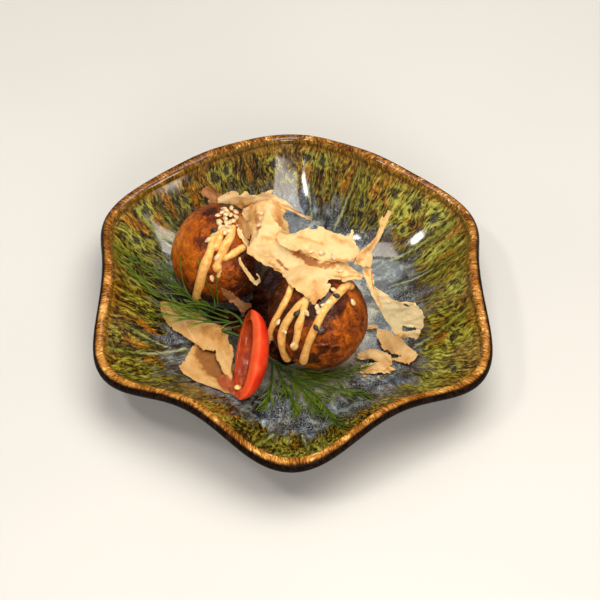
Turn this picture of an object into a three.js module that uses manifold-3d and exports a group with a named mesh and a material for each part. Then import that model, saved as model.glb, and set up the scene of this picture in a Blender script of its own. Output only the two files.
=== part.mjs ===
// Two takoyaki balls on a small six-lobed stoneware dish, dressed with mayonnaise, sesame seeds,
// curled bonito flakes, a wedge of cherry tomato and two sprigs of dill.
// Millimetres, +Z up. The origin is at the middle of the dish's foot, on the table.
// Run with the npm packages three and manifold-3d.
import * as THREE from "three";
import { mergeVertices } from "three/addons/utils/BufferGeometryUtils.js";
import Module from "manifold-3d";

const wasm = await Module();
wasm.setup();

// ---- driving dimensions -------------------------------------------------------------------------

const RIM_RADIUS = 80; // mean radius of the middle of the lip
const LIP_RADIUS = 2.6; // half the thickness of the rounded lip
const RIM_HEIGHT = 27.3; // mean height of the middle of the lip
const LOBES = 6;
const LOBE_TURN = 30; // direction of the first lobe, in degrees from +X
const LOBE_DEPTH = 5.1; // how far a lobe stands out, and a pinch is pushed in
const LOBE_ROUNDNESS = 0.4; // second harmonic, which makes the lobes rounder than the pinches
const RIM_WAVE = 3.75; // a pinch is this much higher than the mean rim, and a lobe this much lower
const OVAL = 2; // the thrown circle is a little longer one way
const OVAL_TURN = 106;
const FLUTE_START = 28; // radii between which the flutes grow from nothing to full depth
const FLUTE_END = 62;
const WAVE_START = 48; // radius inside which the dish's height doesn't wave
const WAVE_POWER = 1.3;
const FLOOR = 5; // height of the dish's inner floor at its middle
const FOOT_OUTER = 46.5;
const FOOT_INNER = 39;
const FOOT_RECESS = 1.4;

const BALL_RADIUS = 20.2;
const BALL_LUMPS = 0.3; // how uneven the browned crust is
const LEFT_BALL = { centre: new THREE.Vector3(-28.9, 17.3, 25.5), turn: 0.4 };
const RIGHT_BALL = { centre: new THREE.Vector3(10.7, -16.6, 25.5), turn: 2.1 };

const SEED = [1.55, 1.0, 0.75]; // half the length, width and thickness of a sesame seed
const FLAKE_THICKNESS = 0.45;
const FLAKE_REST = 1.6; // height of a flake's middle over the round of a bare ball
const GAP = 0.3; // between solids that rest on each other

const TOMATO_LENGTH = 36;
const TOMATO_RADIUS = 9.2;
const TOMATO_WALL = 3.1; // thickness of its flesh
const TOMATO_TOP = new THREE.Vector3(-15.7, -17.8, 30.8); // ends of the tomato's axis
const TOMATO_FOOT = new THREE.Vector3(-20.2, -46.5, 11);
const TOMATO_KEEL = new THREE.Vector3(0.86, 0.22, -0.46); // the way its skin faces
const TOMATO_SPREAD = 86; // half the angle of the piece, round its axis

const STEM_RADIUS = 0.85; // of a dill sprig at its thick end
const THREAD_RADIUS = 0.34; // of one thread of its leaves

// ---- helpers ------------------------------------------------------------------------------------

const radians = THREE.MathUtils.degToRad;
const clamp = THREE.MathUtils.clamp;
const smooth = THREE.MathUtils.smoothstep;
const curve = (points) => new THREE.CatmullRomCurve3(points, false, "catmullrom", 0.5);
const vectors = (list) => list.map((p) => new THREE.Vector3(...p));

function solidFrom(geometry) {
  const closed = geometry.clone();
  closed.deleteAttribute("normal");
  closed.deleteAttribute("uv");
  const merged = mergeVertices(closed, 1e-4);
  return new wasm.Manifold(
    new wasm.Mesh({
      numProp: 3,
      vertProperties: merged.attributes.position.array,
      triVerts: new Uint32Array(merged.index.array),
    }),
  );
}

function geometryFrom(solid) {
  const mesh = solid.getMesh();
  const geometry = new THREE.BufferGeometry();
  geometry.setAttribute("position", new THREE.Float32BufferAttribute(mesh.vertProperties, 3));
  geometry.setIndex(new THREE.Uint32BufferAttribute(mesh.triVerts, 1));
  geometry.computeVertexNormals();
  return geometry;
}

// The geometries joined into one body. A hollow that the join seals is filled, and a scrap that
// touches nothing is dropped.
function fuse(geometries) {
  const bodies = wasm.Manifold.union(geometries.map(solidFrom)).decompose();
  return geometryFrom(bodies.reduce((best, body) => (body.volume() > best.volume() ? body : best)));
}

function moveVertices(geometry, move) {
  const position = geometry.attributes.position;
  const point = new THREE.Vector3();
  for (let i = 0; i < position.count; i++) {
    point.fromBufferAttribute(position, i);
    move(point);
    position.setXYZ(i, point.x, point.y, point.z);
  }
  return geometry;
}

// A rounded rope of changing radius. path(t) is its middle line, t from 0 to 1.
function rope(path, radiusAt, sides, steps) {
  const profile = [new THREE.Vector2(0, 0)];
  for (let i = 0; i <= steps; i++) profile.push(new THREE.Vector2(1, i / steps));
  profile.push(new THREE.Vector2(0, 1));
  const up = new THREE.Vector3(0.13, -0.21, 0.97);
  return moveVertices(new THREE.LatheGeometry(profile, sides), (p) => {
    const t = p.y;
    const tangent = path(Math.min(t + 0.02, 1)).sub(path(Math.max(t - 0.02, 0))).normalize();
    const across = new THREE.Vector3().crossVectors(up, tangent).normalize().multiplyScalar(radiusAt(t));
    const above = new THREE.Vector3().crossVectors(tangent, across);
    const tip = Math.hypot(p.x, p.z) < 0.5 ? 0.6 * radiusAt(t) * Math.sign(t - 0.5) : 0;
    const [x, y] = [p.x, -p.z];
    p.copy(path(t)).addScaledVector(tangent, tip).addScaledVector(across, x).addScaledVector(above, y);
  });
}

// Random numbers from 0 to 1, the same on each run.
function dice(seed) {
  let state = seed;
  return () => {
    state = (state * 16807) % 2147483647;
    return state / 2147483647;
  };
}

// ---- dish ---------------------------------------------------------------------------------------

// How much further out the dish is in this direction, at full flute depth.
function lobing(angle) {
  const turn = LOBES * (angle - radians(LOBE_TURN));
  return (
    LOBE_DEPTH * Math.cos(turn) +
    LOBE_ROUNDNESS * Math.cos(2 * turn) +
    OVAL * Math.cos(2 * (angle - radians(OVAL_TURN)))
  );
}

// How much lower the dish is here than a plain round one.
function waving(radius, angle) {
  const rise = Math.max(0, (radius - WAVE_START) / (RIM_RADIUS - WAVE_START));
  return RIM_WAVE * Math.cos(LOBES * (angle - radians(LOBE_TURN))) * rise ** WAVE_POWER;
}

// Moves a point of the plain round dish to its place on the lobed one.
function pinch(point) {
  const radius = Math.hypot(point.x, point.y);
  const angle = Math.atan2(point.y, point.x);
  const out = radius + lobing(angle) * smooth(radius, FLUTE_START, FLUTE_END);
  point.set(out * Math.cos(angle), out * Math.sin(angle), point.z - waving(radius, angle));
}

const INNER_WALL = new THREE.SplineCurve([
  new THREE.Vector2(24, FLOOR + 0.1),
  new THREE.Vector2(42, FLOOR + 0.9),
  new THREE.Vector2(53, 8.2),
  new THREE.Vector2(63, 14.2),
  new THREE.Vector2(72, 21.4),
  new THREE.Vector2(RIM_RADIUS - LIP_RADIUS + 0.15, RIM_HEIGHT - 0.8),
]).getPoints(7);

const OUTER_WALL = new THREE.SplineCurve([
  new THREE.Vector2(RIM_RADIUS + LIP_RADIUS - 0.2, RIM_HEIGHT - 1.1),
  new THREE.Vector2(77.5, 20.6),
  new THREE.Vector2(68, 12.4),
  new THREE.Vector2(57, 5),
  new THREE.Vector2(FOOT_OUTER + 2, 0.9),
]).getPoints(4);

const DISH_STEPS = 72;

function makeDish() {
  const lip = [150, 115, 80, 45, 10].map((degrees) => {
    const corner = new THREE.Vector2(LIP_RADIUS, 0).rotateAround(new THREE.Vector2(), radians(degrees));
    return corner.add(new THREE.Vector2(RIM_RADIUS, RIM_HEIGHT));
  });
  const profile = [
    new THREE.Vector2(0, FOOT_RECESS),
    new THREE.Vector2(FOOT_INNER - 1, FOOT_RECESS),
    new THREE.Vector2(FOOT_INNER, 0),
    new THREE.Vector2(FOOT_OUTER, 0),
    ...OUTER_WALL.toReversed(),
    ...lip.toReversed(),
    ...INNER_WALL.toReversed(),
    new THREE.Vector2(0, FLOOR),
  ];
  const geometry = new THREE.LatheGeometry(profile, DISH_STEPS).rotateX(Math.PI / 2);
  return moveVertices(geometry, pinch);
}

// Height of the dish's inner surface over this spot.
function dishHeight(x, y) {
  const angle = Math.atan2(y, x);
  const out = Math.hypot(x, y);
  let radius = out;
  for (let i = 0; i < 8; i++) radius = out - lobing(angle) * smooth(radius, FLUTE_START, FLUTE_END);
  const after = INNER_WALL.findIndex((p) => p.x > radius);
  if (after === 0) return FLOOR + 0.1;
  const [low, high] = after < 0 ? INNER_WALL.slice(-2) : INNER_WALL.slice(after - 1, after + 1);
  return THREE.MathUtils.mapLinear(radius, low.x, high.x, low.y, high.y) - waving(radius, angle);
}

// Moves a point out of the balls and up off the dish until it is this far clear of them.
function keepClear(point, fromBalls, fromDish) {
  const reach = BALL_RADIUS + fromBalls;
  for (const { centre } of [LEFT_BALL, RIGHT_BALL]) {
    const out = point.clone().sub(centre);
    if (out.length() < reach) point.copy(centre).add(out.setLength(reach));
  }
  point.z = Math.max(point.z, dishHeight(point.x, point.y) + fromDish);
  return point;
}

// ---- balls --------------------------------------------------------------------------------------

// Distance of a ball's lumpy crust from its centre in this direction.
function crust({ turn }, { x, y, z }) {
  const lumps =
    Math.sin(3.1 * x + 2.3 * y + turn) +
    Math.sin(4.3 * y - 2.1 * z + 2 * turn) +
    0.7 * Math.sin(5.7 * z + 3.7 * x - turn);
  return BALL_RADIUS + BALL_LUMPS * lumps;
}

// A direction as a unit vector, from a bearing round from +X and a height over the level, in degrees.
function aim([bearing, height]) {
  const [turn, rise] = [radians(bearing), radians(height)];
  const level = new THREE.Vector3(Math.cos(turn), Math.sin(turn), 0);
  return level.multiplyScalar(Math.cos(rise)).setZ(Math.sin(rise));
}

// The point this way from a ball's centre, at this distance over its crust.
function onBall(ball, direction, lift) {
  const way = direction.clone().normalize();
  return way.multiplyScalar(crust(ball, way) + lift).add(ball.centre);
}

function ballBody(ball) {
  const rest = dishHeight(1.15 * ball.centre.x, 1.15 * ball.centre.y) + GAP;
  return moveVertices(new THREE.IcosahedronGeometry(1, 5), (p) => {
    p.copy(onBall(ball, p, 0));
    p.z = Math.max(p.z, rest);
  });
}

// A line of mayonnaise over a ball, thinning to its ends.
function mayoLine(ball, { radius, through }) {
  const directions = curve(through.map(aim));
  const path = (t) => onBall(ball, directions.getPoint(t), 0.3 * radius);
  return rope(path, (t) => radius * (0.72 + 0.28 * Math.sin(Math.PI * t)), 7, 3 * (through.length - 1));
}

// A sesame seed at a spot, lying flat on a face that looks this way, and spun on it.
function seed(spot, outward, spin) {
  const turn = new THREE.Quaternion().setFromUnitVectors(new THREE.Vector3(0, 0, 1), outward);
  const grain = new THREE.SphereGeometry(1, 5, 4).scale(...SEED).rotateZ(spin);
  return grain.applyQuaternion(turn).translate(...spot);
}

const seedOn = (ball, place, spin) => seed(onBall(ball, aim(place), 0.4), aim(place), spin);

// Each line of mayonnaise runs through some bearings and heights.
const LEFT_MAYO = [
  { radius: 1.8, through: [[-100, 66], [-108, 44], [-112, 18], [-118, -10], [-122, -30]] },
  { radius: 1.6, through: [[-40, 70], [-68, 55], [-84, 43], [-94, 27]] },
  { radius: 1.5, through: [[-36, 44], [-53, 46], [-71, 40]] },
  { radius: 0.9, through: [[-88, 30], [-93, 18], [-95, 6]] },
];

const RIGHT_MAYO = [
  { radius: 1.5, through: [[176, 52], [-166, 40], [-153, 20], [-148, -8]] },
  { radius: 1.6, through: [[-145, 52], [-139, 38], [-136, 18], [-136, -6], [-124, -28]] },
  { radius: 1.6, through: [[-124, 48], [-116, 36], [-114, 19], [-114, 2]] },
  { radius: 1.6, through: [[-46, 57], [-82, 48], [-97, 31], [-105, 6], [-107, -24]] },
];

// Each seed lies at a bearing and height.
const LEFT_SEEDS = [
  [100, 79], [60, 77], [36, 72], [80, 68], [-12, 80], [4, 70], [-78, 76], [-46, 76], [52, 62],
  [104, 64], [-110, 74], [-92, 66], [-100, 34], [-92, 52], [150, 76],
];

const RIGHT_SEEDS = [
  [-128, 50], [-93, 42], [-148, 30], [-134, 26], [-72, 60], [-18, 47], [0, 30], [-142, 0],
  [-112, 14], [-104, 52], [-56, 52],
];

function makeBall(ball, mayo, seeds) {
  return fuse([
    ballBody(ball),
    ...mayo.map((line) => mayoLine(ball, line)),
    ...seeds.map((place, i) => seedOn(ball, place, 2.4 * i)),
  ]);
}

// ---- bonito flakes ------------------------------------------------------------------------------

// A flake is shaved thin, and curls. Its ribs run across it, each through two points or more, and so do
// those of a shred that is half torn off it. Its waves are this deep. It rests this high off the round of
// a ball, higher where it lies on mayonnaise. Seeds lie on it at shares of its length and width.
const FLAKES = {
  back_band: { wave: 0.5, rest: 0.9, ribs: [
    [[-29.5, 31, 46], [-30.5, 29.5, 40]],
    [[-20.5, 29, 50], [-21, 27, 43]],
    [[-11.5, 26.5, 52], [-11.5, 25, 46.5]],
    [[-1.5, 25, 50], [-2, 22.5, 46.5]],
    [[8.5, 20.5, 44], [8, 19.5, 43]],
  ] },
  back_lobe: { wave: 0.2, rest: 0.9, ribs: [
    [[-37, 33.5, 44], [-35.5, 30.5, 39.5]],
    [[-34.5, 34.5, 46], [-33, 30, 40]],
    [[-31, 32.5, 44.5], [-31, 30, 40.5]],
  ] },
  tent: { wave: 0.35, rest: 1.2, seeds: [[0.45, 0.28], [0.42, 0.5], [0.38, 0.78]], ribs: [
    [[-20.5, 23, 43], [-19.5, 12, 43], [-18, 4, 41]],
    [[-15.5, 22.5, 48], [-14.5, 10.5, 48], [-14, 3, 43.5]],
    [[-10, 22, 50], [-9, 12.5, 49.5], [-9, 6, 46]],
    [[-5.5, 21.5, 48.5], [-4, 13.5, 47.5], [-4, 8.5, 45]],
    [[-1.5, 21, 44.5], [-0.5, 14.5, 43.5], [-0.5, 10, 42.5]],
  ], shred: [
    [[-17.5, 7, 43.5], [-15.5, 6, 44]],
    [[-20, 1.5, 39], [-18, 1.5, 39.5]],
    [[-18, -0.5, 31.5], [-17, 0.5, 32]],
    [[-14.5, -2.5, 28], [-15, -1.5, 29.5]],
    [[-12.5, -2, 30.5], [-13.5, -1.5, 31.5]],
    [[-13.5, -1, 33.5], [-14.5, -1.5, 33]],
  ] },
  leaf: { wave: 0.1, ribs: [
    [[-21.5, 19, 45.5], [-20, 18.5, 47]],
    [[-20.5, 14, 45.5], [-17, 13, 48.5]],
    [[-18, 9, 44.5], [-15.5, 8.5, 47]],
  ] },
  centre: { wave: 0.4, rest: 2.6, seeds: [[0.8, 0.72]], ribs: [
    [[-9, 19, 52.5], [-5.5, 17.5, 52.5]],
    [[-11.5, 10, 52], [-4.5, 9.5, 50.5]],
    [[-16.5, 3.5, 46.5], [-3, 4.5, 47.5]],
    [[-12.5, -2, 39], [0.5, 0.5, 46.5]],
    [[-2.5, -9, 40], [6, -3.5, 47]],
    [[1.5, -22.5, 42], [12, -7, 47.5]],
    [[10.5, -25, 42], [18.5, -8.5, 47.5]],
    [[20, -17.5, 44.5], [24, -10, 46.5]],
  ] },
  upper: { wave: 0.5, rest: 4.2, seeds: [[0.5, 0.75], [0.68, 0.62], [0.35, 0.8]], ribs: [
    [[-7.5, 3, 49], [-6.5, -0.5, 47.5]],
    [[-1, 5, 50.5], [0, -1, 48]],
    [[6, 7.5, 52], [6.5, -6.5, 48.5]],
    [[15.5, 5.5, 52.5], [16, -10.5, 48.5]],
    [[25, 6, 51.5], [27, -12, 48.5]],
  ] },
  standing: { wave: 0.2, ribs: [
    [[24, -9.5, 50], [32, -11, 47.5]],
    [[27.5, -6.5, 53.5], [33.5, -7, 51.5]],
    [[31.5, -4, 57], [34.5, -5, 55]],
    [[34.5, 0, 61], [36.5, -0.5, 60]],
    [[37.5, 3.5, 65], [39, 3.5, 65]],
  ] },
  right: { wave: 0.35, ribs: [
    [[23.5, -14, 47.5], [29.5, -10, 47]],
    [[29.5, -15, 44], [34, -14.5, 43.5]],
    [[33.5, -17.5, 36], [41, -17.5, 38]],
    [[38, -19, 27], [47, -17, 35]],
    [[43, -19.5, 18], [52.5, -16.5, 30]],
  ], shred: [
    [[49.5, -18.5, 31], [50, -14.5, 31.5]],
    [[52, -17, 25], [54, -16, 25.5]],
    [[52, -17, 20], [53.5, -18.5, 19]],
    [[49.5, -16.5, 14], [50.5, -18, 12]],
    [[45, -14.5, 11.5], [44.5, -16.5, 10]],
  ] },
  floor_right: { wave: 0.35, ribs: [
    [[35.5, -9.5, 8], [33.5, -18.5, 7]],
    [[39.5, -9, 9], [40, -22.5, 7]],
    [[44, -13.5, 9], [45, -26.5, 8]],
    [[50.5, -21.5, 10], [50.5, -23.5, 10]],
  ] },
  crumb_upper: { wave: 0.3, ribs: [
    [[25.5, -20, 7], [26.5, -22, 6.5]],
    [[30, -19.5, 8.5], [32, -23.5, 7.5]],
    [[35, -21, 8], [37, -25, 7.5]],
    [[39.5, -27, 8.5], [40, -28.5, 7.5]],
  ] },
  crumb_lower: { wave: 0.25, ribs: [
    [[27, -29.5, 7.5], [27.5, -31, 6.5]],
    [[32, -28, 9], [33, -31.5, 7]],
    [[36.5, -29, 8], [37.5, -31.5, 7]],
    [[41, -30.5, 8.5], [41, -32, 7]],
  ] },
  left: { wave: 0.35, ribs: [
    [[-53.5, 1.5, 13], [-52.5, -2, 11.5]],
    [[-44, -1.5, 13.5], [-47, -10.5, 9]],
    [[-34.5, -7, 13], [-38, -15.5, 8.5]],
    [[-26, -14, 12], [-31.5, -19, 9]],
    [[-24, -22, 11], [-28, -26, 9.5]],
    [[-23, -30, 10.5], [-25, -33, 10]],
  ] },
  floor_left: { wave: 0.15, ribs: [
    [[-37.5, -15.5, 6.5], [-44, -29.5, 7]],
    [[-32, -19.5, 6.5], [-37, -35, 8]],
    [[-27, -27.5, 7], [-27, -40, 9]],
  ] },
  between: { wave: 0.15, rest: 0.7, ribs: [
    [[-28, -2.5, 28.5], [-26, -2, 30]],
    [[-24.5, -2, 20.5], [-22.5, -1.5, 23]],
    [[-17, -4.5, 13.5], [-16, -2.5, 15]],
  ] },
};

// The middle surface of a flake at a share of its length and width.
function flakeSurface(ribs, wave, rest) {
  const rails = ribs[0].map((_, k) => curve(vectors(ribs.map((rib) => rib[k]))));
  const spot = (u, v) => curve(rails.map((rail) => rail.getPoint(u))).getPoint(v);
  return (u, v) => {
    const point = spot(u, v);
    const ahead = spot(Math.min(u + 0.02, 1), v).sub(spot(Math.max(u - 0.02, 0), v));
    const aside = spot(u, Math.min(v + 0.02, 1)).sub(spot(u, Math.max(v - 0.02, 0)));
    const ripple = wave * Math.sin(11 * u + 4 * v) * Math.cos(5 * v - 3 * u);
    point.addScaledVector(ahead.cross(aside).normalize(), ripple);
    return keepClear(point, rest, GAP + FLAKE_THICKNESS / 2);
  };
}

// A thin closed sheet about a middle surface, with both its faces split alike.
function sheet(surface, columns, rows) {
  const plane = new THREE.PlaneGeometry(1, 1, columns, rows);
  const spots = plane.attributes.position;
  const faces = plane.index.array;
  const positions = [];
  for (const side of [0.5, -0.5])
    for (let i = 0; i < spots.count; i++) {
      const [u, v] = [spots.getX(i) + 0.5, spots.getY(i) + 0.5];
      const ahead = surface(Math.min(u + 0.02, 1), v).sub(surface(Math.max(u - 0.02, 0), v));
      const aside = surface(u, Math.min(v + 0.02, 1)).sub(surface(u, Math.max(v - 0.02, 0)));
      const normal = ahead.cross(aside).normalize();
      positions.push(...surface(u, v).addScaledVector(normal, side * FLAKE_THICKNESS));
    }
  const border = [];
  for (let i = 0; i < columns; i++) border.push(i);
  for (let j = 0; j < rows; j++) border.push(j * (columns + 1) + columns);
  for (let i = columns; i > 0; i--) border.push(rows * (columns + 1) + i);
  for (let j = rows; j > 0; j--) border.push(j * (columns + 1));
  const index = [...faces, ...faces.toReversed().map((i) => i + spots.count)];
  border.forEach((here, k) => {
    const next = border[(k + 1) % border.length];
    index.push(here, next, here + spots.count, next, next + spots.count, here + spots.count);
  });
  const geometry = new THREE.BufferGeometry();
  geometry.setAttribute("position", new THREE.Float32BufferAttribute(positions, 3));
  return geometry.setIndex(index);
}

function makeFlake({ wave, rest = FLAKE_REST, ribs, shred, seeds = [] }) {
  const surface = flakeSurface(ribs, wave, rest);
  const columns = clamp(2 * (ribs.length - 1), 4, 11);
  const parts = [sheet(surface, columns, 2 * ribs[0].length - 1)];
  if (shred) parts.push(sheet(flakeSurface(shred, 0, rest), 2 * shred.length - 2, 1));
  seeds.forEach(([u, v], i) => {
    const up = new THREE.Vector3(0, 0, 1);
    parts.push(seed(surface(u, v).addScaledVector(up, 0.7), up, 1.9 * i));
  });
  return fuse(parts);
}

// ---- tomato -------------------------------------------------------------------------------------

function makeTomato() {
  const half = TOMATO_LENGTH / 2;
  const hollow = TOMATO_RADIUS - TOMATO_WALL;
  const skin = new THREE.SphereGeometry(1, 26, 14).scale(TOMATO_RADIUS, half, TOMATO_RADIUS);
  const inside = new THREE.SphereGeometry(1, 20, 12).scale(hollow, half - 1.2 * TOMATO_WALL, hollow);
  const reach = 2 * TOMATO_RADIUS;
  const [x, y] = [reach * Math.cos(radians(TOMATO_SPREAD)), reach * Math.sin(radians(TOMATO_SPREAD))];
  const corners = [[0, 0], [x, -y], [reach, -y], [reach, y], [x, y]];
  const section = new THREE.Shape(corners.map((corner) => new THREE.Vector2(...corner)));
  const slice = new THREE.ExtrudeGeometry(section, { depth: TOMATO_LENGTH, bevelEnabled: false });
  slice.translate(0, 0, -half).rotateX(Math.PI / 2);
  const wedge = geometryFrom(solidFrom(skin).subtract(solidFrom(inside)).intersect(solidFrom(slice)));
  const lengthwise = TOMATO_TOP.clone().sub(TOMATO_FOOT).normalize();
  const sideways = new THREE.Vector3().crossVectors(TOMATO_KEEL, lengthwise).normalize();
  const keel = new THREE.Vector3().crossVectors(lengthwise, sideways);
  const place = new THREE.Matrix4().makeBasis(keel, lengthwise, sideways);
  place.setPosition(TOMATO_TOP.clone().lerp(TOMATO_FOOT, 0.5));
  return wedge.applyMatrix4(place);
}

// ---- dill ---------------------------------------------------------------------------------------

// A sprig's stem and its side branches, and how many threads each carries.
const LEFT_SPRIG = { seed: 7, branches: [
  { threads: 0, path: [[-19, -12, 14], [-22, -8, 15.5], [-27, -5, 16.5]] },
  { threads: 9, path: [[-24, -7, 16], [-35, 0, 15], [-48, 10, 16], [-60, 18, 19]] },
  { threads: 8, path: [[-26, -6, 16.5], [-38, -3, 14.5], [-50, 3, 15], [-62, 9, 18]] },
  { threads: 6, path: [[-24, -8, 16], [-35, -7, 15.5], [-45, -6, 15], [-54, -5, 14]] },
  { threads: 4, path: [[-27, -5, 16.5], [-32, -4, 21], [-36, -3.5, 28]] },
] };

const RIGHT_SPRIG = { seed: 23, branches: [
  { threads: 0, path: [[-27.5, -13.5, 13.5], [-18, -17, 11.5], [-10, -24, 9], [-4, -28, 8]] },
  { threads: 13, path: [[-8, -26, 8], [2, -34, 8.5], [10, -46, 9.5], [18, -62, 15]] },
  { threads: 8, path: [[-6, -27, 8], [6, -32, 8], [18, -37, 8], [28, -38, 8.5]] },
  { threads: 8, path: [[-10, -25, 7.5], [-8, -35, 7.5], [-4, -44, 8]] },
] };

function branchRopes({ path, threads }, random, first) {
  const line = curve(vectors(path));
  const onDish = (point, radius) => keepClear(point, 2.5 + radius, GAP + radius);
  const stemAt = (t) => (first ? STEM_RADIUS : 0.6 * STEM_RADIUS) * (1 - 0.5 * t);
  const ropes = [rope((t) => onDish(line.getPoint(t), stemAt(t)), stemAt, 4, 4)];
  for (let i = 0; i < threads; i++) {
    const t = 0.15 + (0.85 * (i + random())) / threads;
    const start = line.getPoint(Math.min(t, 1));
    const heading = line.getTangent(Math.min(t, 1));
    const side = (i % 2 ? 1 : -1) * (20 + 30 * random());
    const swing = heading.clone().applyAxisAngle(new THREE.Vector3(0, 0, 1), radians(side));
    const length = (9 + 5 * random()) * (1.15 - 0.5 * t);
    const rise = 3 * (random() - 0.3);
    const end = start.clone().addScaledVector(swing, length).add(new THREE.Vector3(0, 0, rise));
    const middle = start.clone().addScaledVector(swing.add(heading).normalize(), 0.55 * length);
    const thread = curve([start, middle, end]);
    const radiusAt = (s) => THREAD_RADIUS * (1.1 - 0.4 * s);
    ropes.push(rope((s) => onDish(thread.getPoint(s), THREAD_RADIUS), radiusAt, 3, 2));
  }
  return ropes;
}

function makeSprig({ seed, branches }) {
  const random = dice(seed);
  return fuse(branches.flatMap((branch, i) => branchRopes(branch, random, i === 0)));
}

// ---- the dish and all that is on it -------------------------------------------------------------

const GLAZE = { color: 0x4f5a26, roughness: 0.2 };
const CRUST = { color: 0x8a4a1c, roughness: 0.4 };
const BONITO = { color: 0xe8bf86, roughness: 0.7 };
const HERB = { color: 0x3f6a1c, roughness: 0.5 };
const TOMATO = { color: 0xc8321a, roughness: 0.25 };

const plate = new THREE.Group();

function add(name, geometry, look) {
  const mesh = new THREE.Mesh(geometry, new THREE.MeshStandardMaterial(look));
  mesh.name = name;
  plate.add(mesh);
}

add("dish", makeDish(), GLAZE);
add("ball_left", makeBall(LEFT_BALL, LEFT_MAYO, LEFT_SEEDS), CRUST);
add("ball_right", makeBall(RIGHT_BALL, RIGHT_MAYO, RIGHT_SEEDS), CRUST);
for (const [name, flake] of Object.entries(FLAKES)) add("flake_" + name, makeFlake(flake), BONITO);
add("tomato", makeTomato(), TOMATO);
add("dill_left", makeSprig(LEFT_SPRIG), HERB);
add("dill_right", makeSprig(RIGHT_SPRIG), HERB);

export default plate;
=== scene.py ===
"""Takoyaki on a lobed dish: the fine pieces and finishes that go over the solid model."""

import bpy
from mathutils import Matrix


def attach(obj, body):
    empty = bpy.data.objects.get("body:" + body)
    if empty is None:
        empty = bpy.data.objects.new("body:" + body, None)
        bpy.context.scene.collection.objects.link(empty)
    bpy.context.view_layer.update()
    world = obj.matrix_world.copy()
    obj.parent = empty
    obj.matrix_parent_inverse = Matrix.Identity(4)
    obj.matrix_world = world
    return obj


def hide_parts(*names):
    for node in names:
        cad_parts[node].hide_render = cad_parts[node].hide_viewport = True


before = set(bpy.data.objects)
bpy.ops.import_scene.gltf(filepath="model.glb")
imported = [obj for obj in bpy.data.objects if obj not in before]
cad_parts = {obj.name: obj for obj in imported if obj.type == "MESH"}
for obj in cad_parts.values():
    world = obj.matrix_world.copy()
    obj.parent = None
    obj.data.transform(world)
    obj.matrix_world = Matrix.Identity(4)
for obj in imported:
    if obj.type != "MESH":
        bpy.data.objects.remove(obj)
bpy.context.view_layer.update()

import math
import random

import bmesh
import bpy
from bpy.props import FloatProperty, FloatVectorProperty, IntProperty, PointerProperty
from mathutils import Quaternion, Vector, noise

bl_info = {
    "name": "Takoyaki on a lobed dish",
    "version": (1, 0, 0),
    "blender": (4, 5, 0),
    "location": "3D View > Sidebar > Takoyaki",
    "description": "Makes two dressed takoyaki balls on a glazed, lobed stoneware dish",
    "category": "Add Mesh",
}

MM = 0.001  # every size below is in millimetres, and a piece is scaled by this when it is done
WELD = 1e-3  # corners closer than this become one
FINE_WELD = 1e-4  # the same on ropes and threads

# ---- sizes that the pieces share with the solid model -------------------------------------------

RIM_RADIUS = 80.0  # mean radius of the middle of the lip
LIP_RADIUS = 2.6
RIM_HEIGHT = 27.3
LOBES = 6
LOBE_TURN = math.radians(30)
LOBE_DEPTH = 5.1
LOBE_ROUNDNESS = 0.4
RIM_WAVE = 3.75
OVAL = 2.0
OVAL_TURN = math.radians(106)
FLUTE_START = 28.0
FLUTE_END = 62.0
WAVE_START = 48.0
WAVE_POWER = 1.3
FLOOR = 5.0
FOOT_OUTER = 46.5
FOOT_INNER = 39.0
FOOT_RECESS = 1.4

BALL_RADIUS = 20.2
BALL_LUMPS = 0.3
BALLS = {
    "left": {"centre": Vector((-28.9, 17.3, 25.5)), "turn": 0.4},
    "right": {"centre": Vector((10.7, -16.6, 25.5)), "turn": 2.1},
}

SEED = (1.55, 1.0, 0.75)  # half the length, width and thickness of a sesame seed
FLAKE_THICKNESS = 0.45  # of the solid flakes, which are thicker than the real ones
FLAKE_REST = 1.6  # height of a flake's middle over the round of a bare ball
GAP = 0.3

TOMATO_HALF = 18.0
TOMATO_RADIUS = 9.2
TOMATO_WALL = 3.1
TOMATO_TOP = Vector((-15.7, -17.8, 30.8))
TOMATO_FOOT = Vector((-20.2, -46.5, 11))
TOMATO_KEEL = Vector((0.86, 0.22, -0.46))
TOMATO_SPREAD = math.radians(86)

STEM_RADIUS = 0.85
THREAD_RADIUS = 0.34


def shade(red, green, blue):
    """A display colour, each part from 0 to 255, as the linear values that Blender keeps."""
    return tuple(((part / 255 + 0.055) / 1.055) ** 2.4 for part in (red, green, blue))


# ---- settings -----------------------------------------------------------------------------------


def colour_setting(name, description, default):
    return FloatVectorProperty(
        name=name, description=description, subtype="COLOR", size=3, min=0, max=1, default=default
    )


class DishSettings(bpy.types.PropertyGroup):
    steps: IntProperty(
        name="Steps", description="Faces round the dish", default=540, min=60, max=600
    )
    moss: colour_setting("Moss", "Colour of the green strokes in the glaze", shade(140, 140, 44))
    dark: colour_setting("Dark", "Glaze between the green strokes", shade(40, 33, 12))
    amber: colour_setting("Amber", "Glaze where it breaks to honey", shade(170, 116, 26))
    blue: colour_setting("Blue", "Glaze that pools on the floor", shade(70, 80, 100))
    pale: colour_setting("Pale", "Middle of the floor", shade(176, 170, 146))
    rim: colour_setting("Rim", "Glaze on the lip", shade(182, 122, 50))


class BallSettings(bpy.types.PropertyGroup):
    pitting: FloatProperty(
        name="Pitting", description="Depth of the small dents in the crust, in mm", default=0.22, min=0
    )
    crust: colour_setting("Crust", "Browned batter", shade(178, 90, 14))
    toast: colour_setting("Toast", "Darkest browning", shade(84, 34, 8))
    sauce: colour_setting("Sauce", "Glossy sauce", shade(48, 16, 5))
    mayonnaise: colour_setting("Mayonnaise", "Mayonnaise", shade(232, 174, 92))
    seed: colour_setting("Seeds", "Hulled sesame", shade(242, 208, 158))
    black_seed: colour_setting("Black seeds", "Black sesame", shade(34, 34, 30))


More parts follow.
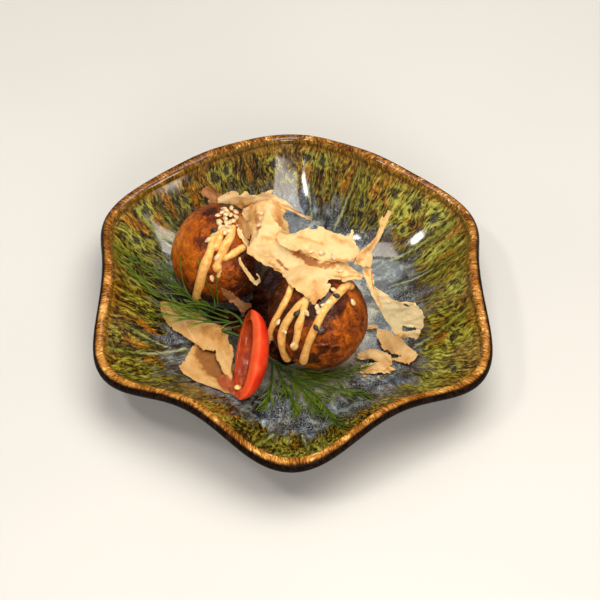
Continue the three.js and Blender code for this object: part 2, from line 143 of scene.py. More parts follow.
class ToppingSettings(bpy.types.PropertyGroup):
    flake_cell: FloatProperty(
        name="Flake cell", description="Size of a flake's faces, in mm", default=0.3, min=0.2
    )
    flake_thickness: FloatProperty(
        name="Flake thickness", description="Thickness of a shaved flake, in mm", default=0.17, min=0.05
    )
    bonito: colour_setting("Bonito", "Palest shavings", shade(253, 217, 160))
    bonito_tan: colour_setting("Bonito tan", "Shavings in the thick", shade(212, 166, 102))
    bonito_brown: colour_setting("Bonito brown", "Dark rind of the shavings", shade(150, 92, 52))
    tomato: colour_setting("Tomato", "Skin of the tomato", shade(220, 52, 24))
    flesh: colour_setting("Flesh", "Cut flesh of the tomato", shade(246, 92, 46))
    hollow: colour_setting("Hollow", "Wet inside of the tomato", shade(164, 52, 8))
    dill: colour_setting("Dill", "Leaves of the dill", shade(58, 80, 8))
    stem: colour_setting("Stem", "Stems of the dill", shade(48, 72, 8))


# ---- curves and placing -------------------------------------------------------------------------


def clamp(value, low=0.0, high=1.0):
    return max(low, min(high, value))


def ease(value, low, high):
    share = clamp((value - low) / (high - low))
    return share * share * (3 - 2 * share)


def along(points, share):
    """The point at a share of the smooth curve through the points. It also runs on past the ends."""
    place = share * (len(points) - 1)
    first = int(clamp(math.floor(place), 0, len(points) - 2))
    step = place - first
    here, there = points[first], points[first + 1]
    before = points[first - 1] if first else 2 * here - there
    after = points[first + 2] if first + 2 < len(points) else 2 * there - here
    leave, arrive = (there - before) / 2, (after - here) / 2
    cubic = 2 * here - 2 * there + leave + arrive
    square = 3 * there - 3 * here - 2 * leave - arrive
    return ((cubic * step + square) * step + leave) * step + here


def vectors(rows):
    return [Vector(row) for row in rows]


def spline(points, count):
    """Evenly shared points of the smooth curve through a profile, flat at neither end."""
    rows = vectors(points)
    rows = [rows[0], *rows, rows[-1]]
    span = len(rows) - 3
    return [along(rows, (1 + span * i / count) / (len(rows) - 1)) for i in range(count + 1)]


def aim(bearing, height):
    """A unit vector from a bearing round from +X and a height over the level, in degrees."""
    turn, rise = math.radians(bearing), math.radians(height)
    return Vector((math.cos(turn) * math.cos(rise), math.sin(turn) * math.cos(rise), math.sin(rise)))


# ---- meshes -------------------------------------------------------------------------------------


def add_object(name, bm, paint):
    mesh = bpy.data.meshes.new(name)
    bm.to_mesh(mesh)
    bm.free()
    mesh.materials.append(paint)
    made = bpy.data.objects.new(name, mesh)
    bpy.context.scene.collection.objects.link(made)
    return made


def make_piece(name, bm, paint, node):
    """Turns a mesh in millimetres into a finished piece that stands for a solid."""
    bmesh.ops.scale(bm, vec=(MM, MM, MM), verts=bm.verts)
    for face in bm.faces:
        face.smooth = True
    piece = add_object(name, bm, paint)
    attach(piece, "root")
    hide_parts(node)
    return piece


def woven(bm, columns, rows, place):
    """A grid of faces whose corners go where place(u, v) says. Returns its corners with u and v."""
    made = bmesh.ops.create_grid(bm, x_segments=columns, y_segments=rows, size=1)["verts"]
    spots = []
    for vert in made:
        u, v = (vert.co.x + 1) / 2, (vert.co.y + 1) / 2
        vert.co = place(u, v)
        spots.append((vert, u, v))
    return spots


END_RINGS = ((0.0, -1.0, 0.0), (0.0, -0.7, 0.72))  # share of the path, offset and size, in radii
ACROSS_FROM = Vector((0.13, -0.21, 0.97))  # a way that no rope runs in, from which its sides are found


def tube(bm, path, radius, sides, steps, layer=None, value=None):
    """A rope of changing radius with round ends. value(t) goes into the float layer."""
    stations = [*END_RINGS, *((i / steps, 0.0, 1.0) for i in range(steps + 1))]
    stations += [(1.0 - share, -offset, size) for share, offset, size in reversed(END_RINGS)]
    rings = []
    for share, offset, size in stations:
        tangent = (path(min(share + 0.02, 1)) - path(max(share - 0.02, 0))).normalized()
        across = ACROSS_FROM.cross(tangent).normalized()
        thick = radius(share)
        middle = path(share) + tangent * offset * thick
        rings.append((middle, across * thick * size, tangent.cross(across) * thick * size))

    def place(u, v):
        middle, across, above = rings[round(u * (len(rings) - 1))]
        return middle + across * math.cos(math.tau * v) + above * math.sin(math.tau * v)

    spots = woven(bm, len(rings) - 1, sides, place)
    if layer:
        for vert, u, _ in spots:
            vert[layer] = value(stations[round(u * (len(rings) - 1))][0])
    bmesh.ops.remove_doubles(bm, verts=[vert for vert, _, _ in spots], dist=FINE_WELD)


def drops_mesh(drops, lumps):
    """Rounded drops, each at its place, with its half sizes and its turn."""
    bm = bmesh.new()
    for place, sizes, turn in drops:
        swivel = Quaternion((0, 0, 1), math.radians(turn))
        for vert in bmesh.ops.create_icosphere(bm, subdivisions=4, radius=1)["verts"]:
            way = vert.co.normalized()
            swell = 1 + lumps * noise.noise(way * 2.2 + Vector(place))
            local = Vector([part * size * swell for part, size in zip(way, sizes)])
            vert.co = Vector(place) + swivel @ local
    return bm


# ---- shader expressions -------------------------------------------------------------------------


def arithmetic(operation, reflected=False):
    """A method that adds a Math node for its wire and the other values."""

    def method(self, *others):
        values = (*others, self) if reflected else (self, *others)
        return self.paint.node("ShaderNodeMath", {"operation": operation}, dict(enumerate(values)))

    return method


class Wire:
    """A socket in a paint's node tree, with the arithmetic operators."""

    def __init__(self, paint, socket):
        self.paint = paint
        self.socket = socket

    def __getitem__(self, output):
        return Wire(self.paint, self.socket.node.outputs[output])

    __add__ = __radd__ = arithmetic("ADD")
    __mul__ = __rmul__ = arithmetic("MULTIPLY")
    __sub__, __rsub__ = arithmetic("SUBTRACT"), arithmetic("SUBTRACT", reflected=True)
    __truediv__ = arithmetic("DIVIDE")
    __abs__ = arithmetic("ABSOLUTE")
    least = arithmetic("MINIMUM")


class Paint:
    """A material in the making, and short names for the nodes that paints share."""

    def __init__(self, name):
        self.material = bpy.data.materials.new(name)
        self.material.use_nodes = True
        self.tree = self.material.node_tree
        self.tree.nodes.clear()

    def node(self, kind, settings, sockets, output=0):
        """Adds a node: its settings first, then the values or links of its sockets."""
        made = self.tree.nodes.new(kind)
        for key, value in settings.items():
            if key == "stops":
                while len(made.color_ramp.elements) < len(value):
                    made.color_ramp.elements.new(1)
                for element, (position, colour) in zip(made.color_ramp.elements, value):
                    element.position = position
                    element.color = (*colour, 1)
            else:
                setattr(made, key, value)
        for key, value in sockets.items():
            if isinstance(value, Wire):
                self.tree.links.new(value.socket, made.inputs[key])
            else:
                made.inputs[key].default_value = value
        return Wire(self, made.outputs[output]) if made.outputs else None

    def place(self):
        """Object coordinates in millimetres."""
        spot = self.node("ShaderNodeTexCoord", {}, {}, "Object")
        return self.vector("SCALE", spot, Scale=1 / MM)

    def vector(self, operation, *values, **named):
        sockets = {**dict(enumerate(values)), **named}
        return self.node("ShaderNodeVectorMath", {"operation": operation}, sockets)

    def parts(self, vector):
        apart = self.node("ShaderNodeSeparateXYZ", {}, {0: vector})
        return apart["X"], apart["Y"], apart["Z"]

    def joined(self, x, y, z):
        return self.node("ShaderNodeCombineXYZ", {}, {0: x, 1: y, 2: z})

    def layer(self, name):
        """A float layer of the mesh."""
        return self.node("ShaderNodeAttribute", {"attribute_name": name}, {}, "Fac")

    def noise(self, vector, scale, detail=2.0, rough=0.5, bend=0.0, kind="FBM", output="Fac"):
        values = {"Vector": vector, "Scale": scale, "Detail": detail, "Roughness": rough}
        values["Distortion"] = bend
        return self.node("ShaderNodeTexNoise", {"noise_type": kind}, values, output)

    def cells(self, vector, scale, feature="F1", output="Distance"):
        values = {"Vector": vector, "Scale": scale}
        return self.node("ShaderNodeTexVoronoi", {"feature": feature}, values, output)

    def fade(self, value, low, high, start=0.0, end=1.0):
        """Goes smoothly from start to end as the value goes from low to high."""
        settings = {"interpolation_type": "SMOOTHSTEP"}
        values = {"Value": value, "From Min": low, "From Max": high, "To Min": start, "To Max": end}
        return self.node("ShaderNodeMapRange", settings, values)

    def ramp(self, value, *stops):
        return self.node("ShaderNodeValToRGB", {"stops": stops}, {"Fac": value})

    def over(self, below, mask, above, mode="MIX"):
        """Lays the colour above over the one below where the mask is 1."""
        below, above = (c if isinstance(c, Wire) else (*c, 1) for c in (below, above))
        settings = {"data_type": "RGBA", "blend_type": mode}
        return self.node("ShaderNodeMix", settings, {0: mask, 6: below, 7: above}, 2)

    def bump(self, height, depth, strength=1.0):
        """A normal from a height. The depth is in millimetres."""
        values = {"Strength": strength, "Distance": depth * MM, "Height": height}
        return self.node("ShaderNodeBump", {}, values)

    def finish(self, colour, **sockets):
        values = {name.replace("_", " "): value for name, value in sockets.items()}
        shader = self.node("ShaderNodeBsdfPrincipled", {}, {"Base Color": colour, **values})
        self.node("ShaderNodeOutputMaterial", {}, {"Surface": shader})
        return self.material


# ---- dish ---------------------------------------------------------------------------------------


def lobing(angle):
    """How much further out the dish is in this direction, at full flute depth."""
    turn = LOBES * (angle - LOBE_TURN)
    oval = OVAL * math.cos(2 * (angle - OVAL_TURN))
    return LOBE_DEPTH * math.cos(turn) + LOBE_ROUNDNESS * math.cos(2 * turn) + oval


def waving(radius, angle):
    """How much lower the dish is here than a plain round one."""
    rise = max(0.0, (radius - WAVE_START) / (RIM_RADIUS - WAVE_START))
    return RIM_WAVE * math.cos(LOBES * (angle - LOBE_TURN)) * rise**WAVE_POWER


def pinched(radius, angle, height):
    """Where a point of the plain round dish is on the lobed one."""
    out = radius + lobing(angle) * ease(radius, FLUTE_START, FLUTE_END)
    return Vector((out * math.cos(angle), out * math.sin(angle), height - waving(radius, angle)))


INNER_WALL = spline(
    [(24, FLOOR + 0.1), (42, FLOOR + 0.9), (53, 8.2), (63, 14.2), (72, 21.4),
     (RIM_RADIUS - LIP_RADIUS + 0.15, RIM_HEIGHT - 0.8)],
    count=66,
)
OUTER_WALL = spline(
    [(RIM_RADIUS + LIP_RADIUS - 0.2, RIM_HEIGHT - 1.1), (77.5, 20.6), (68, 12.4), (57, 5),
     (FOOT_OUTER + 2, 0.9)],
    count=34,
)


def wall_height(radius):
    """Height of the plain round dish's inner surface."""
    if radius <= INNER_WALL[0].x:
        return FLOOR + 0.1 * radius / INNER_WALL[0].x
    for low, high in zip(INNER_WALL, INNER_WALL[1:]):
        if high.x > radius:
            break
    return low.y + (high.y - low.y) * (radius - low.x) / (high.x - low.x)


def dish_height(x, y):
    """Height of the dish's inner surface over this spot."""
    angle, out = math.atan2(y, x), math.hypot(x, y)
    radius = out
    for _ in range(8):
        radius = out - lobing(angle) * ease(radius, FLUTE_START, FLUTE_END)
    return wall_height(radius) - waving(radius, angle)


def on_dish(bearing, radius):
    angle = math.radians(bearing)
    return pinched(radius, angle, wall_height(radius))


def keep_clear(point, from_balls, from_dish):
    """Moves a point out of the balls and up off the dish until it is this far clear of them."""
    for ball in BALLS.values():
        out = point - ball["centre"]
        if out.length < BALL_RADIUS + from_balls:
            point = ball["centre"] + out.normalized() * (BALL_RADIUS + from_balls)
    return Vector((point.x, point.y, max(point.z, dish_height(point.x, point.y) + from_dish)))


# The blue pool on the floor ends at these radii, each at a bearing.
SHORE = [(-180, 60), (-161, 60), (-143, 57), (-127, 60), (-114, 64), (-92, 58), (-78, 66), (-64, 68),
         (-50, 63), (-30, 56), (-12, 58), (6, 63), (27, 57), (40, 56), (55, 60), (75, 63),
         (98, 64), (114, 68), (127, 67), (145, 59), (165, 58), (180, 60)]

# Runs of pale green glaze: bearing and radius at the outer and the inner end, and width.
PALE_RUNS = [((30, 77), (36, 50), 1.5), ((17, 77), (22, 45), 1.1), ((145, 79), (145, 57), 1.1),
             ((138, 77), (139, 64), 0.9), ((132, 77), (135, 67), 0.8), ((-157, 78), (-158, 46), 1.3),
             ((-166, 71), (-160, 52), 1.0), ((-9, 78), (-19, 52), 1.2), ((66, 76), (69, 53), 1.2),
             ((84, 64), (81, 52), 0.7), ((-100, 76), (-96, 58), 1.2), ((-84, 75), (-86, 57), 1.0)]

# Strokes of amber glaze, given in the same way.
AMBER_RUNS = [((-169, 67), (-163, 54), 2.2), ((-155, 61), (-159, 50), 2.2), ((-161, 69), (-160, 62), 2.0),
              ((142, 69), (142, 64), 3.2), ((149, 74), (147, 69), 3.0), ((136, 74), (136, 68), 2.0),
              ((127, 72), (128, 66), 2.4), ((121, 75), (119, 69), 3.2), ((105, 72), (105, 70), 2.4),
              ((85, 70), (85, 65), 2.6), ((69, 71), (69, 68), 3.2), ((67, 75), (68, 72), 2.2),
              ((58, 72), (58, 70), 2.2), ((54, 75), (52, 70), 2.0), ((28, 75), (27, 72), 2.2),
              ((18, 77), (22, 65), 1.2), ((23, 60), (25, 50), 1.0), ((-16, 64), (-16, 61), 3.0),
              ((-115, 71), (-110, 64), 2.2), ((-60, 77), (-62, 73), 2.2), ((-122, 76), (-119, 72), 2.4)]

# Round dark spots: bearing, radius and size.
DARK_SPOTS = [(43, 72.8, 2.9), (36, 71.9, 2.7), (42, 63.4, 1.5), (34, 75.3, 1.3), (51, 72.9, 2.2),
              (61, 65.6, 1.6), (-17, 68.2, 2.2), (-29, 68.2, 1.7), (143, 73, 2.3), (153, 68.2, 2.3),
              (113, 73.4, 1.9), (131, 70.2, 1.6), (96, 71, 2.0), (90, 66, 1.7), (118, 73, 2.2),
              (85, 73, 1.9), (80, 73.4, 2.0), (-70, 68, 1.4), (-87, 71, 1.3), (-149, 70, 1.4),
              (-139, 73, 1.2), (176, 70, 1.8), (166, 72, 1.5), (3, 72, 1.7), (-38, 75, 1.5)]


WALL_RUN = 60.0  # how far down from the top of the lip strokes and spots may lie
FAR_OFF = -2.0  # the least nearness to a stroke that is kept
LIP_SAG = 0.3  # in mm, for a noise of 1
LIP_DROP = 0.32  # added to that noise all round the dish
SAG_START = RIM_RADIUS - 8


def dish_profile():
    """Points of the dish's half section, from the middle of its floor round to that of its foot, and
    which of them is on top of the lip."""
    floor = [Vector((radius, wall_height(radius))) for radius in range(0, 24, 3)]
    lip = []
    for degrees in range(180, -1, -10):
        turn = math.radians(degrees)
        way = Vector((math.cos(turn), math.sin(turn)))
        lip.append(way * LIP_RADIUS + Vector((RIM_RADIUS, RIM_HEIGHT)))
    foot = [(FOOT_OUTER + 0.6, 0.25), (FOOT_OUTER - 0.3, 0), (FOOT_INNER + 0.6, 0), (FOOT_INNER, 0.4),
            (FOOT_INNER - 0.8, FOOT_RECESS), (20, FOOT_RECESS), (0, FOOT_RECESS)]
    lip_top = len(floor) + len(INNER_WALL) + len(lip) // 2
    return [*floor, *INNER_WALL, *lip, *OUTER_WALL, *vectors(foot)], lip_top


def nearness(spot, start, end, width):
    """1 over the line from start to end, 0 at its width away from it, and less beyond, from above."""
    line, offset = end - start, spot - start
    share = clamp(offset.dot(line) / max(line.length_squared, 1e-9))
    return 1 - (offset - line * share).length / width


def shore_radius(bearing):
    for (start, low), (end, high) in zip(SHORE, SHORE[1:]):
        if start <= bearing <= end:
            return low + (high - low) * ease(bearing, start, end)


def marks_in_glaze():
    """The strokes and spots of each kind: both ends, seen from above, and the width."""
    spots = [((bearing, radius), (bearing, radius), size) for bearing, radius, size in DARK_SPOTS]
    kinds = {"pale": PALE_RUNS, "amber": AMBER_RUNS, "spot": spots}
    return {kind: [(on_dish(*outer).xy, on_dish(*inner).xy, width) for outer, inner, width in rows]
            for kind, rows in kinds.items()}


def dish_mesh(steps):
    bm = bmesh.new()
    marks = marks_in_glaze()
    layers = {name: bm.verts.layers.float.new(name)
              for name in ("past_lip", "plain_radius", "shore", *marks)}
    profile, lip_top = dish_profile()
    runs = [0.0]
    for here, there in zip(profile, profile[1:]):
        runs.append(runs[-1] + (there - here).length)
    verts = []
    for run, (radius, height) in zip(runs, profile):
        vert = bm.verts.new((radius, 0, height))
        vert[layers["past_lip"]] = run - runs[lip_top]
        vert[layers["plain_radius"]] = radius
        verts.append(vert)
    edges = [bm.edges.new(pair) for pair in zip(verts, verts[1:])]
    bmesh.ops.spin(bm, geom=[*verts, *edges], axis=(0, 0, 1), cent=(0, 0, 0), steps=steps,
                   angle=math.tau, use_merge=True)
    bmesh.ops.remove_doubles(bm, verts=bm.verts, dist=WELD)
    for vert in bm.verts:
        radius, angle = vert[layers["plain_radius"]], math.atan2(vert.co.y, vert.co.x)
        uneven = noise.noise(Vector((2.2 * math.cos(angle), 2.2 * math.sin(angle), radius / 30)))
        sag = LIP_SAG * (min(0.0, uneven) - LIP_DROP) * ease(radius, SAG_START, RIM_RADIUS)
        vert.co = pinched(radius + sag, angle, vert.co.z + sag)
        vert[layers["shore"]] = shore_radius(math.degrees(angle)) - radius
        on_wall = -WALL_RUN < vert[layers["past_lip"]] < 0
        for kind, lines in marks.items():
            near = max(nearness(vert.co.xy, *line) for line in lines) if on_wall else FAR_OFF
            vert[layers[kind]] = max(FAR_OFF, near)
    bmesh.ops.recalc_face_normals(bm, faces=bm.faces)
    return bm


class Glaze(Paint):
    """The dish's glaze. Its patterns are drawn out down the wall, and each zone has its colours."""

    def __init__(self, settings):
        super().__init__("stoneware glaze")
        self.settings = settings
        self.here = self.place()
        self.x, self.y, self.z = self.parts(self.here)
        way_x, way_y, _ = self.parts(self.vector("NORMALIZE", self.joined(self.x, self.y, 0.0)))
        self.past_lip = self.layer("past_lip")
        self.shore = self.layer("shore")
        wobble = self.noise(self.here, 0.11, 1, output="Color")
        wobble = self.vector("SUBTRACT", wobble, (0.5, 0.5, 0.5))
        lean = self.vector("MULTIPLY", wobble, (0.08, 0.08, 0.0))
        self.polar = self.vector("ADD", self.joined(way_x, way_y, self.past_lip), lean)
        self.patches = self.drawn(5, 0.05)
        self.tongues = self.drawn(13, 0.06, 3, 0.55)
        self.strokes = self.drawn(76, 0.24, 3, 0.62)
        self.long_runs = self.drawn(34, 0.028)
        self.fine = self.drawn(150, 0.9, 2, 0.6)
        self.spread = self.fade(self.layer("plain_radius"), 22, 50)

    def along_wall(self, turns, lengthwise):
        """The place in the glaze, with so much change round the dish and so much down its wall."""
        return self.vector("MULTIPLY", self.polar, (turns, turns, lengthwise))

    def drawn(self, turns, lengthwise, detail=2, rough=0.5):
        return self.noise(self.along_wall(turns, lengthwise), 1, detail, rough)

    def wall(self):
        """Green and brown strokes that break to honey."""
        strokes, fine, settings = self.strokes, self.fine, self.settings
        lines = self.drawn(120, 0.06, 2, 0.55)
        dots = self.cells(self.along_wall(32, 0.36), 1).least(0.6)
        # The fade over x is painted light and shade: the wall glaze is a little darker on the left and
        # paler on the right.
        tone = (strokes * 0.62 + lines * 0.42 + self.tongues * 0.30 + self.patches * 0.2 + fine * 0.3
                + self.long_runs * 0.3 + dots * 0.26 + self.fade(self.x, -60, 60, -0.715, -0.67))
        green = self.ramp(
            tone, (0.32, shade(16, 15, 6)), (0.41, settings.dark), (0.48, shade(78, 70, 20)),
            (0.55, shade(112, 108, 30)), (0.62, settings.moss), (0.70, shade(176, 174, 80)),
            (0.82, shade(208, 204, 130)))
        brown = self.ramp(
            tone, (0.32, shade(18, 11, 5)), (0.42, shade(52, 35, 9)), (0.52, shade(102, 76, 18)),
            (0.60, shade(146, 114, 30)), (0.70, shade(188, 154, 66)), (0.82, shade(216, 190, 118)))
        hue = self.patches * 0.7 + self.long_runs * 0.5 + fine * 0.3 + self.past_lip * -0.006 - 0.36
        colour = self.over(brown, self.fade(hue, 0.40, 0.56), green)
        honey = self.ramp(
            strokes * 0.6 + fine * 0.4, (0.36, shade(46, 26, 6)), (0.48, shade(116, 70, 12)),
            (0.58, settings.amber), (0.72, shade(222, 168, 74)))
        chance = self.drawn(17, 0.11, 3, 0.6) + (fine - 0.5) * 0.25
        colour = self.over(colour, self.fade(chance, 0.60, 0.70) * 0.5, honey)
        placed = self.layer("amber") + (strokes - 0.5) * 2.6 + (fine - 0.5) * 0.8
        return self.over(colour, self.fade(placed, 0.0, 0.7) * 0.8, honey)

    def pool(self):
        """Grey and blue glaze that has run together on the floor, with frost, veins and a pale middle."""
        here, shore, strokes = self.here, self.shore, self.strokes
        speck = self.noise(here, 1.7, 3, 0.7)
        mottle = self.noise(here, 0.15, 4, 0.62, 0.5)
        rays = (self.drawn(24, 0.03, 3, 0.65) - 0.5) * self.spread + 0.5
        depth = mottle * 0.7 + rays * 0.7 + speck * 0.3 - 0.37
        grey = self.ramp(
            depth, (0.32, shade(28, 22, 24)), (0.43, shade(52, 48, 46)), (0.51, shade(80, 79, 70)),
            (0.60, shade(108, 112, 96)), (0.70, shade(146, 152, 132)), (0.82, shade(196, 202, 186)))
        blue = self.ramp(
            depth, (0.34, shade(30, 29, 38)), (0.46, shade(56, 60, 70)), (0.55, self.settings.blue),
            (0.66, shade(122, 140, 150)), (0.80, shade(192, 206, 210)))
        bluish = self.noise(here, 0.08, 2) + (strokes - 0.5) * 0.25
        colour = self.over(grey, self.fade(bluish, 0.47, 0.60) * 0.8, blue)
        crackle = self.cells(here, 1.1, "DISTANCE_TO_EDGE")
        frost = self.fade(crackle, 0.02, 0.16, 1, 0) * self.fade(speck, 0.46, 0.62)
        frosted = self.fade(self.noise(here, 0.07, 2), 0.42, 0.60)
        colour = self.over(colour, frost * frosted * 0.7, shade(190, 200, 200))
        marble = self.noise(here, 0.34, 4, 0.68, 1.8)
        veins = self.fade(abs(marble - 0.5), 0.0, 0.04, 1, 0)
        veins = veins * self.fade(shore, 30, 14) * self.fade(mottle, 0.46, 0.60)
        colour = self.over(colour, veins * 0.65, shade(176, 194, 206))
        browned = self.fade(self.tongues + (shore - 6) * -0.025, 0.50, 0.66)
        colour = self.over(colour, browned * 0.5, self.ramp(
            speck * 0.6 + strokes * 0.4, (0.36, shade(26, 18, 18)), (0.50, shade(70, 50, 40)),
            (0.64, shade(116, 106, 98))))
        cream = self.fade(shore + (mottle - 0.5) * 34 + (rays - 0.5) * 26, 18, 31)
        # The pale middle is held back towards the left, as painted shade under the left ball.
        return self.over(colour, cream * self.fade(self.x, -22, 8, 0.2, 0.9), self.ramp(
            speck * 0.7 + mottle * 0.5 - 0.12, (0.34, shade(112, 110, 92)), (0.5, self.settings.pale),
            (0.68, shade(214, 208, 184))))

    def with_marks(self, colour):
        """Adds the pale runs and the dark spots, each with its rim."""
        strokes, fine = self.strokes, self.fine
        run_tone = self.over(shade(142, 150, 50), self.fade(self.shore, -9, 5), shade(190, 192, 146))
        broken = (strokes - 0.5) * 2.2 + (fine - 0.5) * 1.2 + (self.tongues - 0.5) * 1.2
        pale_run = self.layer("pale") + broken
        colour = self.over(colour, self.fade(pale_run, -1.2, -0.2) * 0.55, shade(44, 46, 18))
        colour = self.over(colour, self.fade(pale_run, 0.2, 1.0) * 0.62, run_tone)
        spot = self.layer("spot") + (self.noise(self.here, 0.5, 2) - 0.5) * 1.6 + (fine - 0.5) * 0.5
        flecks = self.fade(strokes + fine * 0.3, 0.55, 0.70)
        rim = self.over(self.settings.dark, flecks, shade(176, 180, 78))
        colour = self.over(colour, self.fade(spot, -0.9, -0.2) * 0.5, rim)
        iron = self.ramp(fine, (0.4, shade(20, 16, 18)), (0.7, shade(66, 42, 32)))
        return self.over(colour, self.fade(spot, -0.05, 0.45) * 0.85, iron)

    def with_lip(self, colour):
        """Adds the olive band under the lip, the golden lip and the dark outside."""
        strokes, fine, past_lip = self.strokes, self.fine, self.past_lip
        wave = (self.tongues - 0.5) * 4.0 + (strokes - 0.5) * 3.0
        olive = self.ramp(
            strokes * 0.7 + fine * 0.3, (0.36, shade(50, 34, 8)), (0.50, shade(116, 80, 20)),
            (0.64, shade(182, 136, 44)))
        colour = self.over(colour, self.fade(past_lip + wave, -8.5, -4.2) * 0.85, olive)
        ticks = self.drawn(170, 0.22, 2, 0.6)
        broad = self.drawn(12, 0.1)
        # Painted light on the gold: it is palest on the crest of the lip, as a painted highlight, and
        # paler at the front than at the back.
        crest = (past_lip * past_lip).least(9) / 9
        gold = self.ramp(
            ticks * 0.9 + broad * 0.5 + self.fade(self.y, -30, 60, -0.21, -0.30) - crest * 0.12,
            (0.24, shade(60, 30, 8)), (0.40, shade(118, 68, 20)), (0.53, self.settings.rim),
            (0.66, shade(214, 160, 84)), (0.80, shade(252, 222, 152)))
        beads = self.fade(self.cells(self.along_wall(44, 0.5), 1), 0.14, 0.42, 1, 0)
        gold = self.over(gold, beads * self.fade(broad, 0.44, 0.60) * 0.75, shade(252, 206, 122))
        colour = self.over(colour, self.fade(past_lip + wave * 0.2, -2.6, -1.3), gold)
        outer = self.ramp(
            strokes, (0.3, shade(9, 5, 4)), (0.5, shade(24, 14, 10)), (0.7, shade(46, 30, 22)))
        return self.over(colour, self.fade(past_lip + wave * 0.15, 0.5, 1.9), outer)


def glaze_paint(settings):
    glaze = Glaze(settings)
    bank = glaze.shore + (glaze.tongues - 0.5) * 30 + (glaze.strokes - 0.5) * 8
    bank = bank + (glaze.long_runs - 0.5) * 24 - 1.5
    colour = glaze.over(glaze.wall(), glaze.fade(bank, -3.0, 3.0), glaze.pool())
    colour = glaze.with_lip(glaze.with_marks(colour))
    clay = glaze.fade(glaze.z, 0.35, 0.8, 1, 0) * glaze.fade(glaze.past_lip, 6, 12)
    grit = glaze.noise(glaze.here, 2.4, 3, 0.7)
    bare = glaze.ramp(grit, (0.3, shade(104, 82, 60)), (0.7, shade(168, 140, 108)))
    colour = glaze.over(colour, clay, bare)
    swell = glaze.drawn(9, 0.09)
    height = (swell * 1.4 + glaze.tongues * 0.25) * glaze.spread + grit * clay * 0.3
    wet = glaze.fade(glaze.past_lip, -3.0, 0.3, 1.0, 0.08) * glaze.fade(glaze.y, -60, -30, 0.12, 1.0)
    return glaze.finish(colour, Roughness=clay * 0.6 + 0.16, Normal=glaze.bump(height, 0.5), IOR=1.06,
                        Coat_Weight=wet, Coat_Roughness=0.11, Coat_IOR=1.65)


class MakeDish(bpy.types.Operator):
    """Make the lobed dish and its glaze"""

    bl_idname = "takoyaki.dish"
    bl_label = "Dish"

    def execute(self, context):
        settings = context.scene.takoyaki_dish
        make_piece("dish_fine", dish_mesh(settings.steps), glaze_paint(settings),
                   "dish")
        return {"FINISHED"}


# ---- balls --------------------------------------------------------------------------------------


def crust(ball, way):
    """Distance of a ball's lumpy crust from its centre in this direction."""
    x, y, z = way
    turn = ball["turn"]
    lumps = math.sin(3.1 * x + 2.3 * y + turn) + math.sin(4.3 * y - 2.1 * z + 2 * turn)
    return BALL_RADIUS + BALL_LUMPS * (lumps + 0.7 * math.sin(5.7 * z + 3.7 * x - turn))


def on_ball(ball, way, lift):
    """The point this way from a ball's centre, at this distance over its crust."""
    way = way.normalized()
    return ball["centre"] + way * (crust(ball, way) + lift)


# Where sauce lies: bearing, height and spread, in degrees.
SAUCE = {
    "left": [(72, 53, 16), (120, 70, 10), (-41, 25, 18), (-42, -1, 16), (-83, 57, 8), (-106, 42, 5),
             (-109, -24, 18), (-72, 1, 6), (60, 30, 24), (0, 40, 16), (-30, -12, 26), (-20, 16, 24),
             (-58, -22, 20)],
    "right": [(-59, 65, 20), (-50, 52, 10), (-84, 11, 8), (-91, 35, 9), (-99, -5, 12), (-123, 16, 10),
              (-110, 0, 12), (-143, 2, 14), (-24, 57, 8), (-55, 78, 16), (-110, 55, 16), (-130, 40, 14),
              (-160, 30, 20), (176, 20, 30), (-140, -20, 24), (-38, 52, 5), (150, 0, 30), (-71, 9, 6)],
}
# Where the batter is paler, above 0, or darker, below: bearing, height, spread and strength.
# This is partly real browning and partly painted light and shade: the lit left flank of the left ball
# is paler, and the lower sides that face away from the lamps are darker.
BROWNING_AND_SHADING = {
    "left": [(-175, 25, 60, 0.6), (140, 60, 34, -0.7), (100, 75, 35, -0.5), (-60, 8, 46, -0.7),
             (-35, 5, 50, -0.9), (-120, -20, 46, -0.8), (-120, 62, 24, -0.3), (-105, 20, 24, -0.3)],
    "right": [(-50, -2, 40, 0.1), (-20, 20, 50, -0.25), (-75, 32, 26, -0.3), (-78, -22, 40, -0.5),
              (-140, 45, 60, -0.7), (170, 10, 60, -0.6), (-84, 62, 34, -0.5), (-140, 20, 24, 0.5)],
}
# Patches of dried green laver, given in the same way as the sauce.
LAVER = {"left": [], "right": [(-75, 40, 2.4), (-93, 21, 2.2), (-104, 36, 1.8)]}
SAUCE_FILM = 0.34  # how far the sauce stands off the crust


def caps(rows):
    """The middle of each patch as a way from the ball's centre, its spread, and its strength if any."""
    return [(aim(bearing, height), math.radians(spread), *rest) for bearing, height, spread, *rest in rows]


